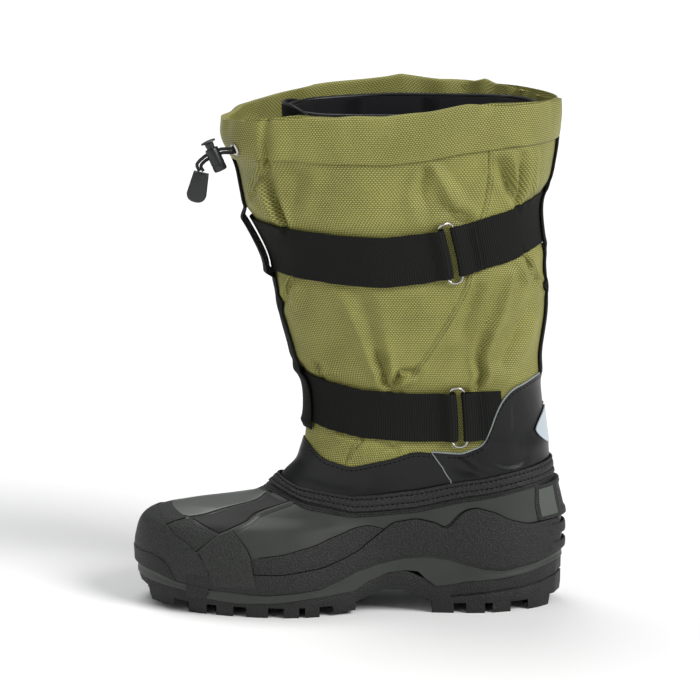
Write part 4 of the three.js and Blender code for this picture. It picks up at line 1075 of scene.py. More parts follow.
# The distance of points from a path, where on the path, and on which side of it (1 towards the heel).
def nearest(points, path):
    best = np.full(len(points), 1e9)
    where = np.zeros(len(points))
    hand = np.ones(len(points))
    for k, (a, b) in enumerate(zip(path[:-1], path[1:])):
        run = b - a
        share = np.clip(((points - a) @ run) / max(run @ run, 1e-9), 0, 1)
        off = points - a - share[:, None] * run
        away = np.linalg.norm(off, axis=1)
        closer = away < best
        best = np.where(closer, away, best)
        where = np.where(closer, k + share, where)
        hand = np.where(closer, np.where(off[:, 0] > 0, 1.0, -1.0), hand)
    return best, where, hand


def bulge(away, middle, width):
    return np.exp(-(((away - middle) / width) ** 2))


halfStrap = boot["strapWidth"] / 2
foldLook = {"scale": 2.0, "narrow": 0.74, "deepest": -5.4, "highest": 5}


# How far the cloth stands off the form, for every layer of the shaft alike.
def clothRise(base):
    points = base.reshape(-1, 3)
    rise = np.zeros(len(points))
    for fold in folds:
        reach = 4 * max(fold["width"])
        low, high = fold["path"].min(axis=0) - reach, fold["path"].max(axis=0) + reach
        near = np.all((points > low) & (points < high), axis=1)
        if not near.any():
            continue
        away, where, _ = nearest(points[near], fold["path"])
        marks = range(len(fold["width"]))
        away = away / (foldLook["narrow"] * np.interp(where, marks, fold["width"]))
        depth = np.interp(where, marks, fold["depth"])
        rise[near] += foldLook["scale"] * depth * (np.exp(-(np.abs(away) ** 1.5)) - 0.3 * bulge(away, 2.2, 1))
    x, y, z = points.T
    upper = np.abs(z - strapUpper(x))
    lower = np.abs(z - strapLower(x))
    # the straps hold the cloth down under them, and it bulges beside them
    held = np.maximum(
        1 - smooth(upper, halfStrap - 2, halfStrap + 9), 1 - smooth(lower, halfStrap - 2, halfStrap + 7)
    )
    rise *= 1 - 0.8 * held
    rise += 0.7 * np.sin(x / 17 + z / 23 + y / 31) * np.sin(z / 29 - x / 37) * (1 - held)
    rise += 1.2 * (bulge(upper, halfStrap + 8, 7) + bulge(lower, halfStrap + 9, 8)) - 0.9 * held
    rise *= smooth(z, lipTop(x) + 2, lipTop(x) + 14)
    return np.clip(rise, foldLook["deepest"], foldLook["highest"]).reshape(base.shape[:-1])


# The small step and the ridge where the panels are lapped.
def seamRise(base):
    points = base.reshape(-1, 3)
    rise = np.zeros(len(points))
    for seam in seams:
        low, high = seam["path"].min(axis=0) - 12, seam["path"].max(axis=0) + 12
        near = np.all((points > low) & (points < high), axis=1)
        away, _, hand = nearest(points[near], seam["path"])
        along = away * hand
        rise[near] += lap["depth"] * bulge(along, 0, lap["trough"])
        rise[near] += lap["height"] * bulge(along, lap["ridge"] * 0.8, lap["ridge"]) * (along > 0)
    return rise.reshape(base.shape[:-1])


# The nylon shaft: a finer grid on the outer side, with its folds and the seam; the inside is plainer.
closedRound = np.concatenate([steps(0, 0.49, 330)[:-1], steps(0.49, 1, 210)])
fineRows = 200
shaftPiece = walledBand(
    "nylon_shaft", closedRound,
    [(shift(lipLow, 2), 2), (lipTop, 10), (shift(strapLower, -halfStrap), 5), (shift(strapLower, halfStrap), 54),
     (shift(strapUpper, -halfStrap), 6), (shift(strapUpper, halfStrap), 34), (hem, 3), (shift(hem, 34),)],
    lambda base, u, v: clothRise(base) + (seamRise(base) if len(base) > fineRows else 0), 1.2,
)
finished(shaftPiece, nylon, ["shaft"])
print("stage: shaft")


# The collar hem goes up the outside, over the top and down the inside. Each pair is an x and how far the rim
# stands above its level line there: farRim on the inner side, nearRim on the outer one.
farRim = [
    (-90, 0), (-70, 2), (-30, 4.5), (0, 9), (24, 12), (38, 13), (52, 9.5), (68, 5), (84, 1.5), (94, 1.5), (102, 4),
    (109, 0), (124, -2), (150, -4),
]
nearRim = [(-90, 0), (-48, -2.2), (-15, -2.8), (5, -1.2), (30, 0), (88, -1.2), (117, -2.2), (150, -0.5)]


def rimRise(x, y):
    far = smooth(y, -8, 38)
    return np.interp(x, *zip(*farRim)) * far + np.interp(x, *zip(*nearRim)) * (1 - far)


def rimWave(u):
    return np.sin(u * 2 * math.pi * 9 + 0.6) + 0.7 * np.sin(u * 2 * math.pi * 17 + 2.1)


# Pinches of the rim, at a turn: the cloth is drawn in between two small rolls.
pinches = [(0.535, 2.4, 0.012), (0.775, 3.2, 0.010), (0.815, 2.2, 0.008), (0.885, 3.4, 0.009), (0.93, 2.0, 0.01),
           (0.455, 1.6, 0.008), (0.395, 1.2, 0.008), (0.32, 0.9, 0.012), (0.06, 1.6, 0.012), (0.64, 1.8, 0.012)]


def pinchIn(u):
    drawn = np.zeros(u.shape)
    for turn, depth, width in pinches:
        away = (u - turn) / width
        drawn += -depth * bulge(away, 0, 1) + 0.5 * depth * bulge(np.abs(away), 2, 1)
    return drawn


# The hem's section: millimetres up from the hem line and out from the cloth.
hemRows = [
    (0.2, 0.5), (0.6, 1.5), (2, 2.2), (8, 2.5), (14, 2.9), (20, 3.1), (26, 2.9), (31, 2.6), (34, 2.1), (35.6, 1.0),
    (36.2, -0.4), (35.6, -1.8), (34, -2.7), (29, -3.1), (22, -3.2), (14, -3.0), (6, -2.9), (-2, -2.6),
]
hemUs = steps(0, 1, 440)
hemPoints = []
for up, out in marked(hemRows, 3):
    v = bootForm.row(hemUs, shift(hem, min(up, boot["hemHeight"])))
    base = bootForm.at(hemUs, v)
    share = max(0.0, min(1.0, up / boot["hemHeight"]))
    gather = 0.35 * rimWave(hemUs) * share + 0.16 * np.sin(hemUs * 2 * math.pi * 43) * share
    extra = clothRise(base) * (1 - 0.3 * share) + gather + pinchIn(hemUs) * share**1.5
    point = base + bootForm.normal(hemUs, v) * (out + extra)[:, None]
    lift = (0.25 * rimWave(hemUs + 0.03) + rimRise(base[:, 0], base[:, 1])) * share
    point[:, 2] += max(0.0, up - boot["hemHeight"]) + lift
    hemPoints.append(point)
hemGrid = np.stack(hemPoints, axis=1)
hemPiece = gridPiece("collar_band", hemGrid, lengths(hemGrid), closed=True)
smoothed(thickened(hemPiece, 0.7), 60)
finished(hemPiece, nylon, ["collar_hem"])
print("stage: collar")

# The foot shell. Its instep has two ridges on each side, along (turn, row) marks.
ridges = [
    {"half": 0.9, "high": 0.9,
     "at": [(0.437, 3.7), (0.419, 4.4), (0.409, 4.75), (0.4125, 5.25), (0.43, 5.8), (0.4525, 6.3)]},
    {"half": 1.5, "high": 1.2,
     "at": [(0.3935, 2.8), (0.3813, 3.6), (0.374, 3.95), (0.369, 4.5), (0.377, 5.2), (0.3895, 5.9)]},
]
ridgePaths = []
for ridge in ridges:
    for marks in (ridge["at"], mirrored(ridge["at"])):
        ridgePaths.append((bootForm.at(*marked(marks, 8).T), ridge["half"], ridge["high"]))


def ridgeRise(base):
    points = base.reshape(-1, 3)
    rise = np.zeros(len(points))
    for path, half, high in ridgePaths:
        away = nearest(points, path)[0]
        rise += high * np.exp(-((away / half) ** 6)) - 0.45 * np.exp(-(((away - half - 0.9) / 0.7) ** 2))
    return rise.reshape(base.shape[:-1])


frontRound = np.concatenate([steps(0, 0.34, 110)[:-1], steps(0.34, 0.66, 280)[:-1], steps(0.66, 1, 110)])
shellPiece = walledBand(
    "foot_shell_rubber", frontRound, [(shift(feather, -1), 80), (shift(lipLow, 1),)],
    lambda base, u, v: boot["shellProud"] + ridgeRise(base) * (len(base) > fineRows), 2.6,
)
finished(shellPiece, rubber, ["foot_shell"])
print("stage: shell")


# The midsole band: rounded at its upper edge, with a soft hollow below.
def bandRise(base, u, v):
    x, z = base[..., 0], base[..., 2]
    low, high = band(x), feather(x)
    share = np.clip((z - low) / np.maximum(high - low, 1), 0, 1)
    return boot["bandProud"] - 0.9 * smooth(share, 0.86, 1.0) - 0.44 * bulge(share, 0.55, 0.22)


bandPiece = panel(
    "sole_band", steps(0, 1, 380), [(band, 12), (shift(feather, 0.2),)], bandRise, closed=True, thickness=5, rim=0.5,
)
finished(bandPiece, rubber, ["midsole"])
solePiece = smoothed(beveled(copyOf("outsole", "lugged_outsole", join=2e-5, quads=False), 0.6, 2, 35), 40)
finished(solePiece, soleRubber, ["outsole"])
print("stage: sole")

# The textured guards lie on the shell.
guardOut = boot["shellProud"] + clearance + 1.3


# The guard's humps swell a little in their middle.
def hindRise(base, u, v):
    x, z = base[..., 0], base[..., 2]
    share = np.clip((z - feather(x)) / np.maximum(hindTop(x) - feather(x), 1), 0, 1)
    return guardOut + 0.5 * np.sin(math.pi * share) ** 0.7


for name, node, low, high in (
    ("guard_lateral", "side_guard_lateral", 0.034, 0.404),
    ("guard_medial", "side_guard_medial", 0.596, 0.966),
):
    fore = panel(f"{name}_fore", steps(low, high, 230), [(shift(feather, 0.3), 20), (guardTop,)], guardOut - 0.75,
                 thickness=1.0, rim=0.35)
    hind = panel(f"{name}_hind", steps(low, high, 260), [(shift(feather, 0.3), 24), (hindTop,)], hindRise,
                 thickness=1.4, rim=0.45)
    finished(joined(name, [fore, hind]), pebble, [node])
toeEdge = [bootForm.turn(-0.322 * boot["length"], shift(feather, 8), side) for side in (-1, 1)]
toePiece = panel("toe_bumper", steps(toeEdge[0], toeEdge[1], 150), [(shift(feather, 0.3), 34), (toeTop,)],
                 guardOut + 0.1, thickness=1.7, rim=0.5)
finished(toePiece, toePebble, ["toe_guard"])
plateEdge = [bootForm.turn(-0.398 * boot["length"], shift(feather, 2), side) for side in (-1, 1)]
platePiece = panel("toe_plate", steps(plateEdge[0], plateEdge[1], 120), [(shift(feather, 0.4), 14), (toePlateTop,)],
                   guardOut + 0.8, thickness=1.2, rim=0.4)
finished(platePiece, soleRubber)
patchArc = [(0.3735, 3.98), (0.3638, 3.5), (0.356, 2.85), (0.3535, 2.1), (0.352, 1.45)]
patchSide = [(0.3925, 2.86), (0.39, 2.6), (0.387, 2.2), (0.384, 1.8), (0.381, 1.45)]
facetTop, facetLow = [(0.437, 3.6), (0.419, 4.4)], [(0.3955, 2.7), (0.3785, 3.72)]
middleTop = [(0.418, 4.46), (0.409, 4.8), (0.4125, 5.25), (0.43, 5.8), (0.4525, 6.3)]
middleLow = [(0.378, 3.78), (0.3735, 4.0), (0.369, 4.5), (0.377, 5.2), (0.3895, 5.9)]
toeCrown = [(0.4375, 3.66), (0.42, 4.36)]
crown = [(0.4185, 4.5), (0.4105, 4.8), (0.414, 5.25), (0.431, 5.8), (0.4535, 6.3)]
facetOut, middleOut = boot["shellProud"] + 0.3, boot["shellProud"] + 0.12
patches, middles = [], []
for side, onto in ((-1, list), (1, mirrored)):
    patches.append(patchBetween(f"toe_patch_{side}", onto(patchSide), onto(patchArc), boot["shellProud"] + 1.15,
                                thickness=1.0, rim=0.3))
    # the textured front of the panel between the two ridges, and the panel's plain part behind it
    patches.append(patchBetween(f"toe_facet_{side}", onto(facetTop), onto(facetLow), facetOut, inset=1.9))
    middles.append(patchBetween(f"middle_facet_{side}", onto(middleTop), onto(middleLow), middleOut, inset=1.9))
patches.append(patchBetween("toe_crown", toeCrown, mirrored(toeCrown), facetOut, inset=1.6, swell=0.45, across=40))
finished(joined("toe_patches", patches), toePebble)
# the panel's plain part between the ridges is painted darker: painted shade
finished(joined("instep_middle", middles), shadedRubber)
# the crown is painted lighter: a painted highlight on the top of the instep
crownPiece = patchBetween("instep_crown", crown, mirrored(crown), middleOut, inset=1.6, across=40)
finished(crownPiece, highlightRubber)
heelBars = []
for low, high, span in ((53.5, 61.5, 0.078), (41.5, 48.5, 0.082)):
    def barRise(base, u, v, span=span, low=low, high=high):
        height = (base[..., 2] - low) / (high - low)
        turn = np.abs((u + 0.5) % 1 - 0.5) / span
        return boot["shellProud"] + 2.9 - 1.3 * smooth(turn, 0.75, 1) - 0.5 * (2 * height - 1) ** 4

    heelBars.append(panel(f"heel_bar_{int(low)}", steps(-span, span, 60), [(level(low), 8), (level(high),)], barRise,
                          thickness=1.8, rim=0.4))
finished(joined("heel_bars", heelBars), pebble)
print("stage: guards")

# The leather. The quarter reaches round the heel to a front edge that slants, row by row.
quarterRows = 34
quarterColumns = 170
leatherOut = {"quarter": 2.3, "vamp": 1.5}


def quarterEdge():
    turns = []
    for t in np.linspace(0, 1, quarterRows + 1):
        z = 0.9 * instep
        for _ in range(12):
            x = float(quarterFront(z))
            z = float(lipLow(x) + 2 + (quarterTop(x) - lipLow(x) - 2) * t)
        turns.append(bootForm.turn(x, level(z), -1))
    return np.array(turns)


edgeTurns = quarterEdge()


def quarterGrid():
    u = np.linspace(-1, 1, quarterColumns + 1)[:, None] * edgeTurns[None, :]
    low = np.stack([bootForm.row(u[:, j] % 1, shift(lipLow, 2)) for j in range(u.shape[1])], axis=1)
    high = np.stack([bootForm.row(u[:, j] % 1, quarterTop) for j in range(u.shape[1])], axis=1)
    v = low + (high - low) * np.linspace(0, 1, quarterRows + 1)
    return bootForm.at(u, v), bootForm.normal(u, v)


leatherCreases = [
    {"side": -1, "at": [(84, 120), (96, 111), (108, 100)], "width": 5, "depth": 1.3},
    {"side": -1, "at": [(80, 113), (90, 105), (102, 95)], "width": 5, "depth": -1.3},
    {"side": -1, "at": [(104, 128), (112, 117), (122, 108)], "width": 5, "depth": -1.2},
    {"side": -1, "at": [(112, 118), (124, 108), (132, 100)], "width": 6, "depth": -1.0},
    {"side": -1, "at": [(118, 150), (126, 134), (126, 118)], "width": 7, "depth": -0.9},
    {"side": 1, "at": [(70, 112), (90, 104), (104, 96)], "width": 6, "depth": -1.0},
    {"side": 1, "at": [(116, 140), (122, 120), (118, 106)], "width": 7, "depth": -0.9},
    {"side": -1, "at": [(-40, 108), (-20, 96), (6, 92)], "width": 8, "depth": -0.7},
    {"side": 1, "at": [(-40, 108), (-20, 96), (6, 92)], "width": 8, "depth": -0.7},
]
for fold in leatherCreases:
    fold["path"] = np.array([
        bootForm.at(turn, bootForm.row(np.array(turn), level(z)))
        for turn, z in ((bootForm.turn(x, level(z), fold["side"]), z) for x, z in fold["at"])
    ])


# How far the leather stands off its place: its creases and the swelling over the instep.
def leatherRise(base):
    points = base.reshape(-1, 3)
    rise = np.zeros(len(points))
    for fold in leatherCreases:
        away = nearest(points, fold["path"])[0] / fold["width"]
        rise += 1.7 * fold["depth"] * np.exp(-away**2)
    x, y, z = points.T
    rise += 1.6 * np.exp(-(((x + 62) / 26) ** 2)) * np.exp(-(((z - 112) / 12) ** 2))
    rise *= smooth(z, lipTop(x) + 1, lipTop(x) + 9)
    over = (z > strapLower(x) - halfStrap - 4) & (x < 0.37 * boot["length"])
    return np.maximum(rise, np.where(over, -0.2, -1.4)).reshape(base.shape[:-1])


# Leather follows the cloth under it by half.
def leatherAt(out):
    return lambda base, u=None, v=None: out + leatherRise(base) + clothRise(base) * 0.5


base, normals = quarterGrid()
quarterPoints = base + normals * leatherAt(leatherOut["quarter"])(base)[..., None]
quarterPiece = gridPiece("leather_quarter", quarterPoints, lengths(quarterPoints))
smoothed(beveled(thickened(quarterPiece, 1.9), 0.35))
finished(quarterPiece, leather, ["heel_quarter"])
# the pale cut edge of the quarter, up the front and along the top
edgeLine = np.concatenate([quarterPoints[0, :, :], quarterPoints[:, -1, :], quarterPoints[-1, ::-1, :]])
edgeBase = np.concatenate([normals[0], normals[:, -1], normals[-1, ::-1]])
finished(tube("quarter_cut_edge", edgeLine - edgeBase * 0.75, 0.75), cutEdge)
vampPiece = panel(
    "leather_vamp", steps(0.2, 0.8, 240), [(shift(lipLow, 2), 26), (vampTop,)],
    leatherAt(leatherOut["vamp"]), thickness=1.3, rim=0.35,
)
finished(vampPiece, leather, ["vamp_leather"])
print("stage: leather")


# The lip of the shell has two rows of stitches, each in a channel.
stitchRows = (0.28, 0.74)
lipOut = 4.3


def lipRise(base, u, v):
    x, z = base[..., 0], base[..., 2]
    share = (z - lipLow(x)) / (lipTop(x) - lipLow(x))
    channels = sum(bulge(share, row, 0.07) for row in stitchRows)
    return lipOut - 0.75 * channels - 0.8 * smooth(share, 0.9, 1.02)


def pipingRise(base, u, v):
    return 2.75 + 0.45 * np.cos((base[..., 2] - lipLow(base[..., 0]) + 2) * 2.4)


lipPiece = panel("shell_lip_band", steps(0, 1, 420), [(lipLow, 18), (lipTop,)], lipRise, closed=True,
                 thickness=2.2, rim=0.3)
finished(lipPiece, pebble, ["shell_lip"])
pipingPiece = panel("lip_piping", steps(0, 1, 420), [(shift(lipLow, -4), 10), (shift(lipLow, 0.6),)], pipingRise,
                    closed=True, thickness=1.2, rim=0.3)
finished(pipingPiece, pebble)

# The heel's kick tab: a raised frame with two plain facets and ends that slope.
tab = {"halfWidth": 25, "low": 66.9, "high": 93.4, "out": 4.3}


# A strip up the form at one turn, some millimetres wide, with the distance of its middle line.
def stripGrid(turn, width, stops, offset, across):
    rows = rowsThrough(bootForm, np.array([turn]), stops)[0]
    share = np.linspace(-0.5, 0.5, across + 1)
    middle = np.full(rows.shape, float(turn))
    speed = np.linalg.norm(bootForm.alongRound(middle, rows), axis=-1) / bootForm.span
    u = turn + share[:, None] * width / speed[None, :]
    v = np.broadcast_to(rows[None, :], u.shape)
    distance = offset(bootForm.at(middle, rows))
    return bootForm.at(u, v), bootForm.normal(u, v), np.broadcast_to(distance[None, :], u.shape)


tabStops = [(level(tab["low"]), 20), (level(tab["high"]),)]
base, normals, distance = stripGrid(
    0.0, 2 * tab["halfWidth"], tabStops, lambda middle: np.full(len(middle), boot["shellProud"] + tab["out"]), 40
)
share = np.linspace(-1, 1, 41)[:, None]
height = np.linspace(0, 1, 21)[None, :]
raised = np.maximum(1 - smooth(height, 0.12, 0.22), smooth(height, 0.8, 0.9))
raised = np.maximum(smooth(np.abs(share), 0.3, 0.36), raised)
slope = np.interp(np.abs(share) + 0.1 * height, [0.48, 0.98, 1.0], [0, 3.6, 3.8])
distance = distance - 1.1 * (1 - raised) - slope
tabPoints = base + normals * distance[..., None]
tabPiece = gridPiece("heel_kick_tab", tabPoints, lengths(tabPoints))
facets = []
for columns in (slice(2, 11), slice(30, 39)):
    grid = (tabPoints + normals * 0.15)[columns, 2:19]
    facets.append(thickened(gridPiece(f"tab_facet_{columns.start}", grid, lengths(grid)), 0.6))
# the plain facets are painted lighter: a painted highlight
finished(joined("heel_tab_facets", facets), highlightRubber)
smoothed(beveled(thickened(tabPiece, 4.2), 0.5))
finished(tabPiece, pebble, ["heel_tab"])

# The heel's reflector, a plain lozenge.
reflectorSize = {"halfWidth": 22, "halfHeight": 14, "z": 1.12 * instep, "out": 3.35}
share = np.linspace(-1, 1, 49)
halfHeight = reflectorSize["halfHeight"] * (1 - np.abs(share) ** 1.55) ** 0.72
heelSpeed = float(np.linalg.norm(bootForm.alongRound(0.0, 9.6)) / bootForm.span)
columns = []
for s, half in zip(share, halfHeight):
    u = float(s * reflectorSize["halfWidth"]) / heelSpeed
    zs = reflectorSize["z"] + np.linspace(-1, 1, 25) * max(half, 0.15)
    vs = np.array([float(bootForm.row(np.array(u), level(z))) for z in zs])
    columns.append(bootForm.lifted(np.full(vs.shape, u), vs, np.full(vs.shape, reflectorSize["out"])))
reflectorPoints = np.stack(columns, axis=0)
reflectorPiece = gridPiece("heel_reflector_patch", reflectorPoints, lengths(reflectorPoints))
smoothed(beveled(thickened(reflectorPiece, 0.8), 0.25))
finished(reflectorPiece, reflective, ["heel_reflector"])
print("stage: lip, tab and reflector")


# The straps: the rear end goes round its bar of the wire loop and is sewn back on itself, the front one over its bar.
wire = 2.0
ringWidth = 10
webOut = 1.75
strapRear = 0.35 * boot["length"]
loops = {
    "upper": {"lineAt": strapUpper, "frontBar": 0.212, "flapEnd": 0.3, "underEnd": 0.21, "count": 150, "back": 17,
              "rows": (11, 12.7, 14.4)},
    "lower": {"lineAt": strapLower, "frontBar": 0.2345, "flapEnd": 0.285, "underEnd": 0.2, "count": 60, "back": 13,
              "rows": (9.5, 11.2)},
}
barOffset = clearance + 1.5 + clearance + wire / 2


# A ribbon along (turn, distance) pairs, centred on a line of the side.
def ribbon(name, lineAt, path, across=14):
    path = np.array(path, float)
    share = np.linspace(-0.5, 0.5, across + 1)
    u = np.broadcast_to(path[:, 0:1], (len(path), len(share)))
    v = np.stack([bootForm.row(path[:, 0] % 1, shift(lineAt, s * boot["strapWidth"])) for s in share], axis=1)
    base = bootForm.at(u, v)
    points = base + bootForm.normal(u, v) * (path[:, 1:2] + clothRise(base))[..., None]
    return webbed(gridPiece(name, points, lengths(points)))


def webbed(piece):
    return smoothed(beveled(thickened(piece, 1.4), 0.3), 50)


# Millimetres round the form for a whole turn, at a turn on a line.
def speedAt(u, lineAt):
    v = bootForm.row(np.array(u), lineAt)
    return float(np.linalg.norm(bootForm.alongRound(u, v)) / bootForm.span)


# From the ribbon's run, under the bar, round it and back on top: side 1 comes from the heel.
def endLoop(barTurn, lineAt, side, back):
    speed = speedAt(barTurn, lineAt)
    radius = wire / 2 + 0.15
    path = [(barTurn - side * 5 / speed, webOut), (barTurn - side * 2 / speed, 1.85)]
    for a in np.linspace(-90, 90, 9):
        angle = math.radians(a)
        path.append((barTurn + side * math.cos(angle) * radius / speed, barOffset + math.sin(angle) * radius))
    for along, height in ((2, 4.1), (4, 3.5), (6, 2.75), (8.5, 2.15), (11, 1.95), (back, 1.95), (back + 0.5, 1.9)):
        path.append((barTurn - side * along / speed, height))
    return path


# From the ribbon's run, over the bar and tucked in behind it.
def endTuck(barTurn, lineAt, side):
    speed = speedAt(barTurn, lineAt)
    radius = wire / 2 + 1.5
    path = []
    for along, height in ((11, webOut), (9, 1.95), (7, 2.6), (5, 3.7), (3, 4.8), (1.4, 5.45)):
        path.append((barTurn - side * along / speed, height))
    for a in np.linspace(90, -60, 10):
        angle = math.radians(a)
        path.append((barTurn + side * math.cos(angle) * radius / speed, barOffset + math.sin(angle) * radius))
    return path


returnStitches = []
for name, part in loops.items():
    lineAt = part["lineAt"]
    front = part["frontBar"] * boot["length"]
    bars = [bootForm.turn(front + along, lineAt, -1) for along in (0, ringWidth)]
    flap = bootForm.turn(part["flapEnd"] * boot["length"], lineAt, 1)
    overlapStart = (part["underEnd"] - 0.11) * boot["length"]
    overlapEnd = part["underEnd"] * boot["length"] - 0.05 * boot["length"]
    run = np.linspace(flap, bars[0] + 12 / speedAt(bars[0], lineAt), 220)
    places = bootForm.at(run, bootForm.row(run % 1, lineAt))
    lift = np.where(places[:, 1] > 0, smooth(places[:, 0], overlapStart, overlapEnd), 0) * 1.8
    main = [(u, webOut + rise) for u, rise in zip(run, lift)]
    piece = ribbon(f"strap_{name}_front_web", lineAt, main + endTuck(bars[0], lineAt, -1))
    finished(piece, webbing, [f"strap_{name}_front"])
    # the rear strap: the upper one comes round the heel from the overlap, the lower one has a part on each side
    speed = speedAt(bars[1], lineAt)
    under = bootForm.turn(part["underEnd"] * boot["length"] + 2, lineAt, 1)
    start = under - 1 if name == "upper" else bootForm.turn(strapRear, lineAt, -1)
    run = np.linspace(start, bars[1] - 6 / speed, part["count"])
    loop = endLoop(bars[1], lineAt, 1, part["back"])
    piece = ribbon(f"strap_{name}_rear_web", lineAt, [(u, webOut) for u in run] + loop)
    finished(piece, webbing, [f"strap_{name}_rear"])
    if name == "lower":
        ends = sorted([under, bootForm.turn(strapRear, lineAt, 1)])
        piece = ribbon("strap_lower_medial_web", lineAt, [(u, webOut) for u in np.linspace(*ends, 60)])
        finished(piece, webbing, ["strap_lower_under"])
    for along in part["rows"]:
        turn = bars[1] - along / speed
        rows = bootForm.row(np.full(40, turn), lambda x: lineAt(x) + np.linspace(-16.5, 16.5, 40))
        places, ups = bootForm.at(turn, rows), bootForm.normal(turn, rows)
        returnStitches.append((places + ups * (3.4 + clothRise(places))[:, None], ups))
    # the wire loop: round ends above and below the strap, and two straight bars
    bend = np.linspace(0, math.pi, 13)
    reach = halfStrap + 0.6
    side = np.linspace(-reach, reach, 14)[1:-1]
    along = np.concatenate([np.cos(bend), np.full(12, -1.0), -np.cos(bend), np.full(12, 1.0)])
    up = np.concatenate([reach + 3.6 * np.sin(bend), side[::-1], -reach - 3.6 * np.sin(bend), side])
    turns = (bars[0] + bars[1]) / 2 + along * (bars[1] - bars[0]) / 2
    rows = np.array([float(bootForm.row(np.array(u), shift(lineAt, h))) for u, h in zip(turns, up)])
    at = bootForm.at(turns, rows)
    wirePath = at + bootForm.normal(turns, rows) * (barOffset + clothRise(at))[:, None]
    finished(tube(f"wire_loop_{name}", wirePath, 0.85, closed=True), steel, [f"ring_{name}"])
stitches("strap_stitches", returnStitches, thread,
         {"length": 1.7, "pitch": 2.2, "thick": 0.42, "sunk": 0.1})
print("stage: straps")


# Webbing up the front and the back; it lies over the straps that it meets.
def webbingPiece(name, node, turn, width, stops, tops, under):
    def distance(middle):
        lift = np.zeros(len(middle))
        for lineAt, top in tops:
            away = np.abs(middle[:, 2] - lineAt(middle[:, 0]))
            lift = np.maximum(lift, (top - under) * (1 - smooth(away, halfStrap + 1, halfStrap + 8)))
        return under + lift + 1.5

    base, normals, far = stripGrid(turn, width, stops, distance, 14)
    points = base + normals * (far + clothRise(base))[..., None]
    return finished(webbed(gridPiece(name, points, lengths(points)[..., ::-1])), webbing, [node])


overStrap = 2.5
frontTops = [(strapLower, overStrap + 2.4), (strapUpper, overStrap + 5.2)]
webbingPiece("webbing_front", "front_webbing", 0.5, 24,
             [(shift(strapLower, -halfStrap - 7), 200), (shift(hem, 0.5),)], frontTops, 0.7)
webbingPiece("webbing_back", "back_webbing", 0.0, 20,
             [(level(1.45 * instep), 160), (shift(hem, 0.5),)], [(strapUpper, overStrap)], 0.7)

# The inner boot and the insole are the frame's own solids, made smoother.
def feltCopy(node, name):
    return modified(creased(copyOf(node, name, join=2e-5), 50), "SUBSURF", levels=2, render_levels=2)


# The inner boot's rim sits lower on the outer side.
def sockDrop(y):
    return 4.5 * smooth(-y, -12, 20)


sockPiece = feltCopy("inner_boot", "felt_inner_boot")
for vertex in sockPiece.data.vertices:
    if vertex.co.z > 0.3:
        vertex.co.z -= sockDrop(vertex.co.y / mm + 11) * mm * min(1, (vertex.co.z - 0.3) / 0.03)
finished(smoothed(sockPiece, 60), felt, ["inner_boot"])
sockRound = steps(0, 1, 200)[:-1]
sockLine = line(shaftHeight, [[-0.3, 0.95], [-0.1, 0.965], [0.1, 0.97], [0.3, 0.968], [0.5, 0.965]], instep)
sockRim = pathOn(sockRound, shift(sockLine, 0.4), -8, form=linerForm)[0]
sockRim[:, 2] -= sockDrop(sockRim[:, 1])
binding = tube("inner_boot_binding", sockRim, 1.9, closed=True)
flapTurns = steps(0.335, 0.60, 90)


def flapTop(x):
    return sockLine(x) + 3.2 - 24 * smooth(x, -52, 0)


flapPiece = panel("inner_boot_flap", flapTurns, [(shift(flapTop, -44), 12), (flapTop,)], -2.6, form=linerForm,
                  thickness=2.4, rim=0.5)
flapEdge = tube("inner_boot_flap_edge", pathOn(flapTurns, flapTop, -3.8, form=linerForm)[0], 1.3)
finished(joined("inner_boot_trim", [binding, flapEdge]), leather)
finished(flapPiece, felt)
stitches("inner_boot_stitches", [pathOn(flapTurns, shift(flapTop, -4), -2.5, form=linerForm)], thread)
finished(smoothed(feltCopy("insole", "felt_insole"), 60), felt, ["insole"])
eyeletPiece = turned("cord_eyelet", [
    (3.0, 0.3), (3.0, 0.9), (3.3, 1.25), (3.8, 1.35), (4.3, 1.1), (4.8, 0.4), (4.8, 0.0), (3.0, 0.0), (3.0, 0.3),
], eyeletAt(hemOuter + 0.5), eyeletNormal, 36)
finished(eyeletPiece, steel, ["eyelet"])
# a black disc in the eyelet's hole: painted shade
holeShadePiece = turned("eyelet_hole_shade", [(0, 0.1), (3.1, 0.1), (3.1, -0.5), (0, -0.5)], eyeletAt(hemOuter + 0.5),
                   eyeletNormal, 24)
finished(holeShadePiece, shadeBlack)
print("stage: inner boot")

# The stitching.
allRound = steps(0, 1, 900)


def lipLine(share):
    return lambda x: lipLow(x) + (lipTop(x) - lipLow(x)) * share


stitches("lip_stitches", [pathOn(allRound, lipLine(row), 3.75) for row in stitchRows], thread)
stitches("hem_stitches", [pathOn(allRound, shift(hem, 1.2), lambda base, u, v: clothRise(base) + 1.9)], oliveThread,
         {"length": 2.3, "pitch": 3.0, "thick": 0.32, "sunk": 0.1})
topSpan = 0.93 * float(edgeTurns[-1])
for name, low, high, top in (("vamp", 0.215, 0.785, vampTop), ("quarter", -topSpan, topSpan, quarterTop)):
    path = pathOn(steps(low, high, 600), shift(top, -3), leatherAt(leatherOut[name] + 0.05))
    stitches(f"{name}_stitches", [path], thread)
seamPaths = []
for seam in seams:
    places = seam["path"] + np.array([lap["stitches"], 0, 0])
    turns = np.array([bootForm.turn(x, level(z), seam["side"]) for x, _, z in places])
    rows = np.array([float(bootForm.row(np.array(u), level(z))) for u, (_, _, z) in zip(turns, places)])
    at = bootForm.at(turns, rows)
    up = bootForm.normal(turns, rows)
    seamPaths.append((at + up * (clothRise(at) + seamRise(at) + 0.12)[:, None], up))
stitches("seam_stitches", seamPaths, oliveThread, {"length": 2.2, "pitch": 3.0, "thick": 0.34, "sunk": 0.05})
outline = np.concatenate([np.stack([share[:-1], halfHeight[:-1]], 1), np.stack([-share[:-1], -halfHeight[:-1]], 1)])
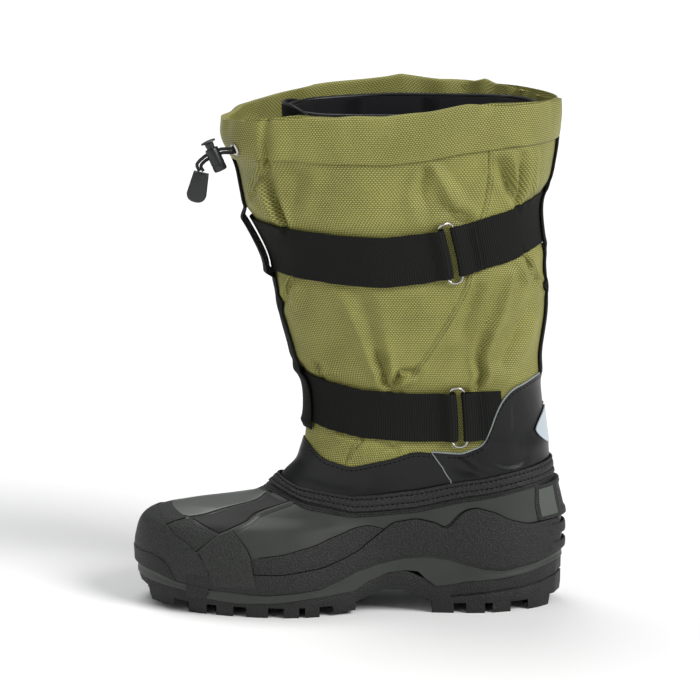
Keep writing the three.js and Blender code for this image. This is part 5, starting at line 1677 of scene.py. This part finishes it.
# the ring of stitches round the reflector keeps the lower strap's pace
ringPace = speedAt(bars[1], strapLower)
ringAt, ringUp = [], []
for s, h in outline:
    turn = s * (reflectorSize["halfWidth"] + 2) / ringPace
    row = float(bootForm.row(np.array(turn), level(reflectorSize["z"] + h * 1.12 + np.sign(h) * 0.8)))
    ringUp.append(bootForm.normal(turn, row))
    ringAt.append(bootForm.at(turn, row) + ringUp[-1] * 2.3)
stitches("reflector_stitches", [(np.array(ringAt), np.array(ringUp))], thread,
         {"length": 2.0, "pitch": 3.1, "thick": 0.55, "sunk": 0.15})
# Dark tubes where one moulded part meets the next: painted shade in the steps between the parts.
grooveShadows = []
for name, low, high, count, top, out in (
    ("guard", 0.034, 0.349, 260, shift(guardTop, 0.2), boot["shellProud"] - 0.05),
    ("guard_medial", 0.651, 0.966, 260, shift(guardTop, 0.2), boot["shellProud"] - 0.05),
    ("hind", 0.034, 0.381, 300, shift(hindTop, 0.15), guardOut - 0.8),
    ("hind_medial", 0.619, 0.966, 300, shift(hindTop, 0.15), guardOut - 0.8),
):
    grooveShadows.append(tube(f"groove_{name}", pathOn(steps(low, high, count), top, out)[0], 0.4))
for k, marks in enumerate((patchArc, mirrored(patchArc))):
    arc = marked(marks)
    arc = bootForm.lifted(*arc.T, np.full(len(arc), boot["shellProud"] + 0.85))
    grooveShadows.append(tube(f"groove_patch_{k}", arc, 0.4))
finished(joined("moulding_groove_shadows", grooveShadows), shadeBlack)
print("stage: stitches")

# The floor and the light.
bpy.ops.mesh.primitive_plane_add(size=30, location=(0, 0, 0))
floor = named(bpy.context.object, "floor")


def floorBuild(start):
    return {"Base Color": mixed(noise(start, 2, 2), rgb(0.86, 0.86, 0.85), rgb(0.9, 0.9, 0.89))}


floor.data.materials.append(material("floor", floorBuild, Roughness=0.7))
world = bpy.context.scene.world or bpy.data.worlds.new("studio")
bpy.context.scene.world = world
world.use_nodes = True
sky = world.node_tree.nodes["Background"]
sky.inputs["Color"].default_value = rgb(0.95, 0.97, 1.0)
sky.inputs["Strength"].default_value = 0.3
lights = [
    {"name": "key", "from": (0.95, -0.66, 0.9), "power": 3.0, "size": 0.5},
    {"name": "fill", "from": (-0.9, -0.8, 0.45), "power": 0.55, "size": 0.9},
    {"name": "top", "from": (-0.25, 0.35, 1.0), "power": 1.3, "size": 0.6},
]
for lamp in lights:
    data = bpy.data.lights.new(lamp["name"], "SUN")
    data.energy = lamp["power"]
    data.angle = lamp["size"]
    light = placed(lamp["name"], data)
    light.rotation_euler = Vector(lamp["from"]).to_track_quat("Z", "Y").to_euler()
bpy.context.scene.view_settings.view_transform = "Standard"
print("stage: studio")
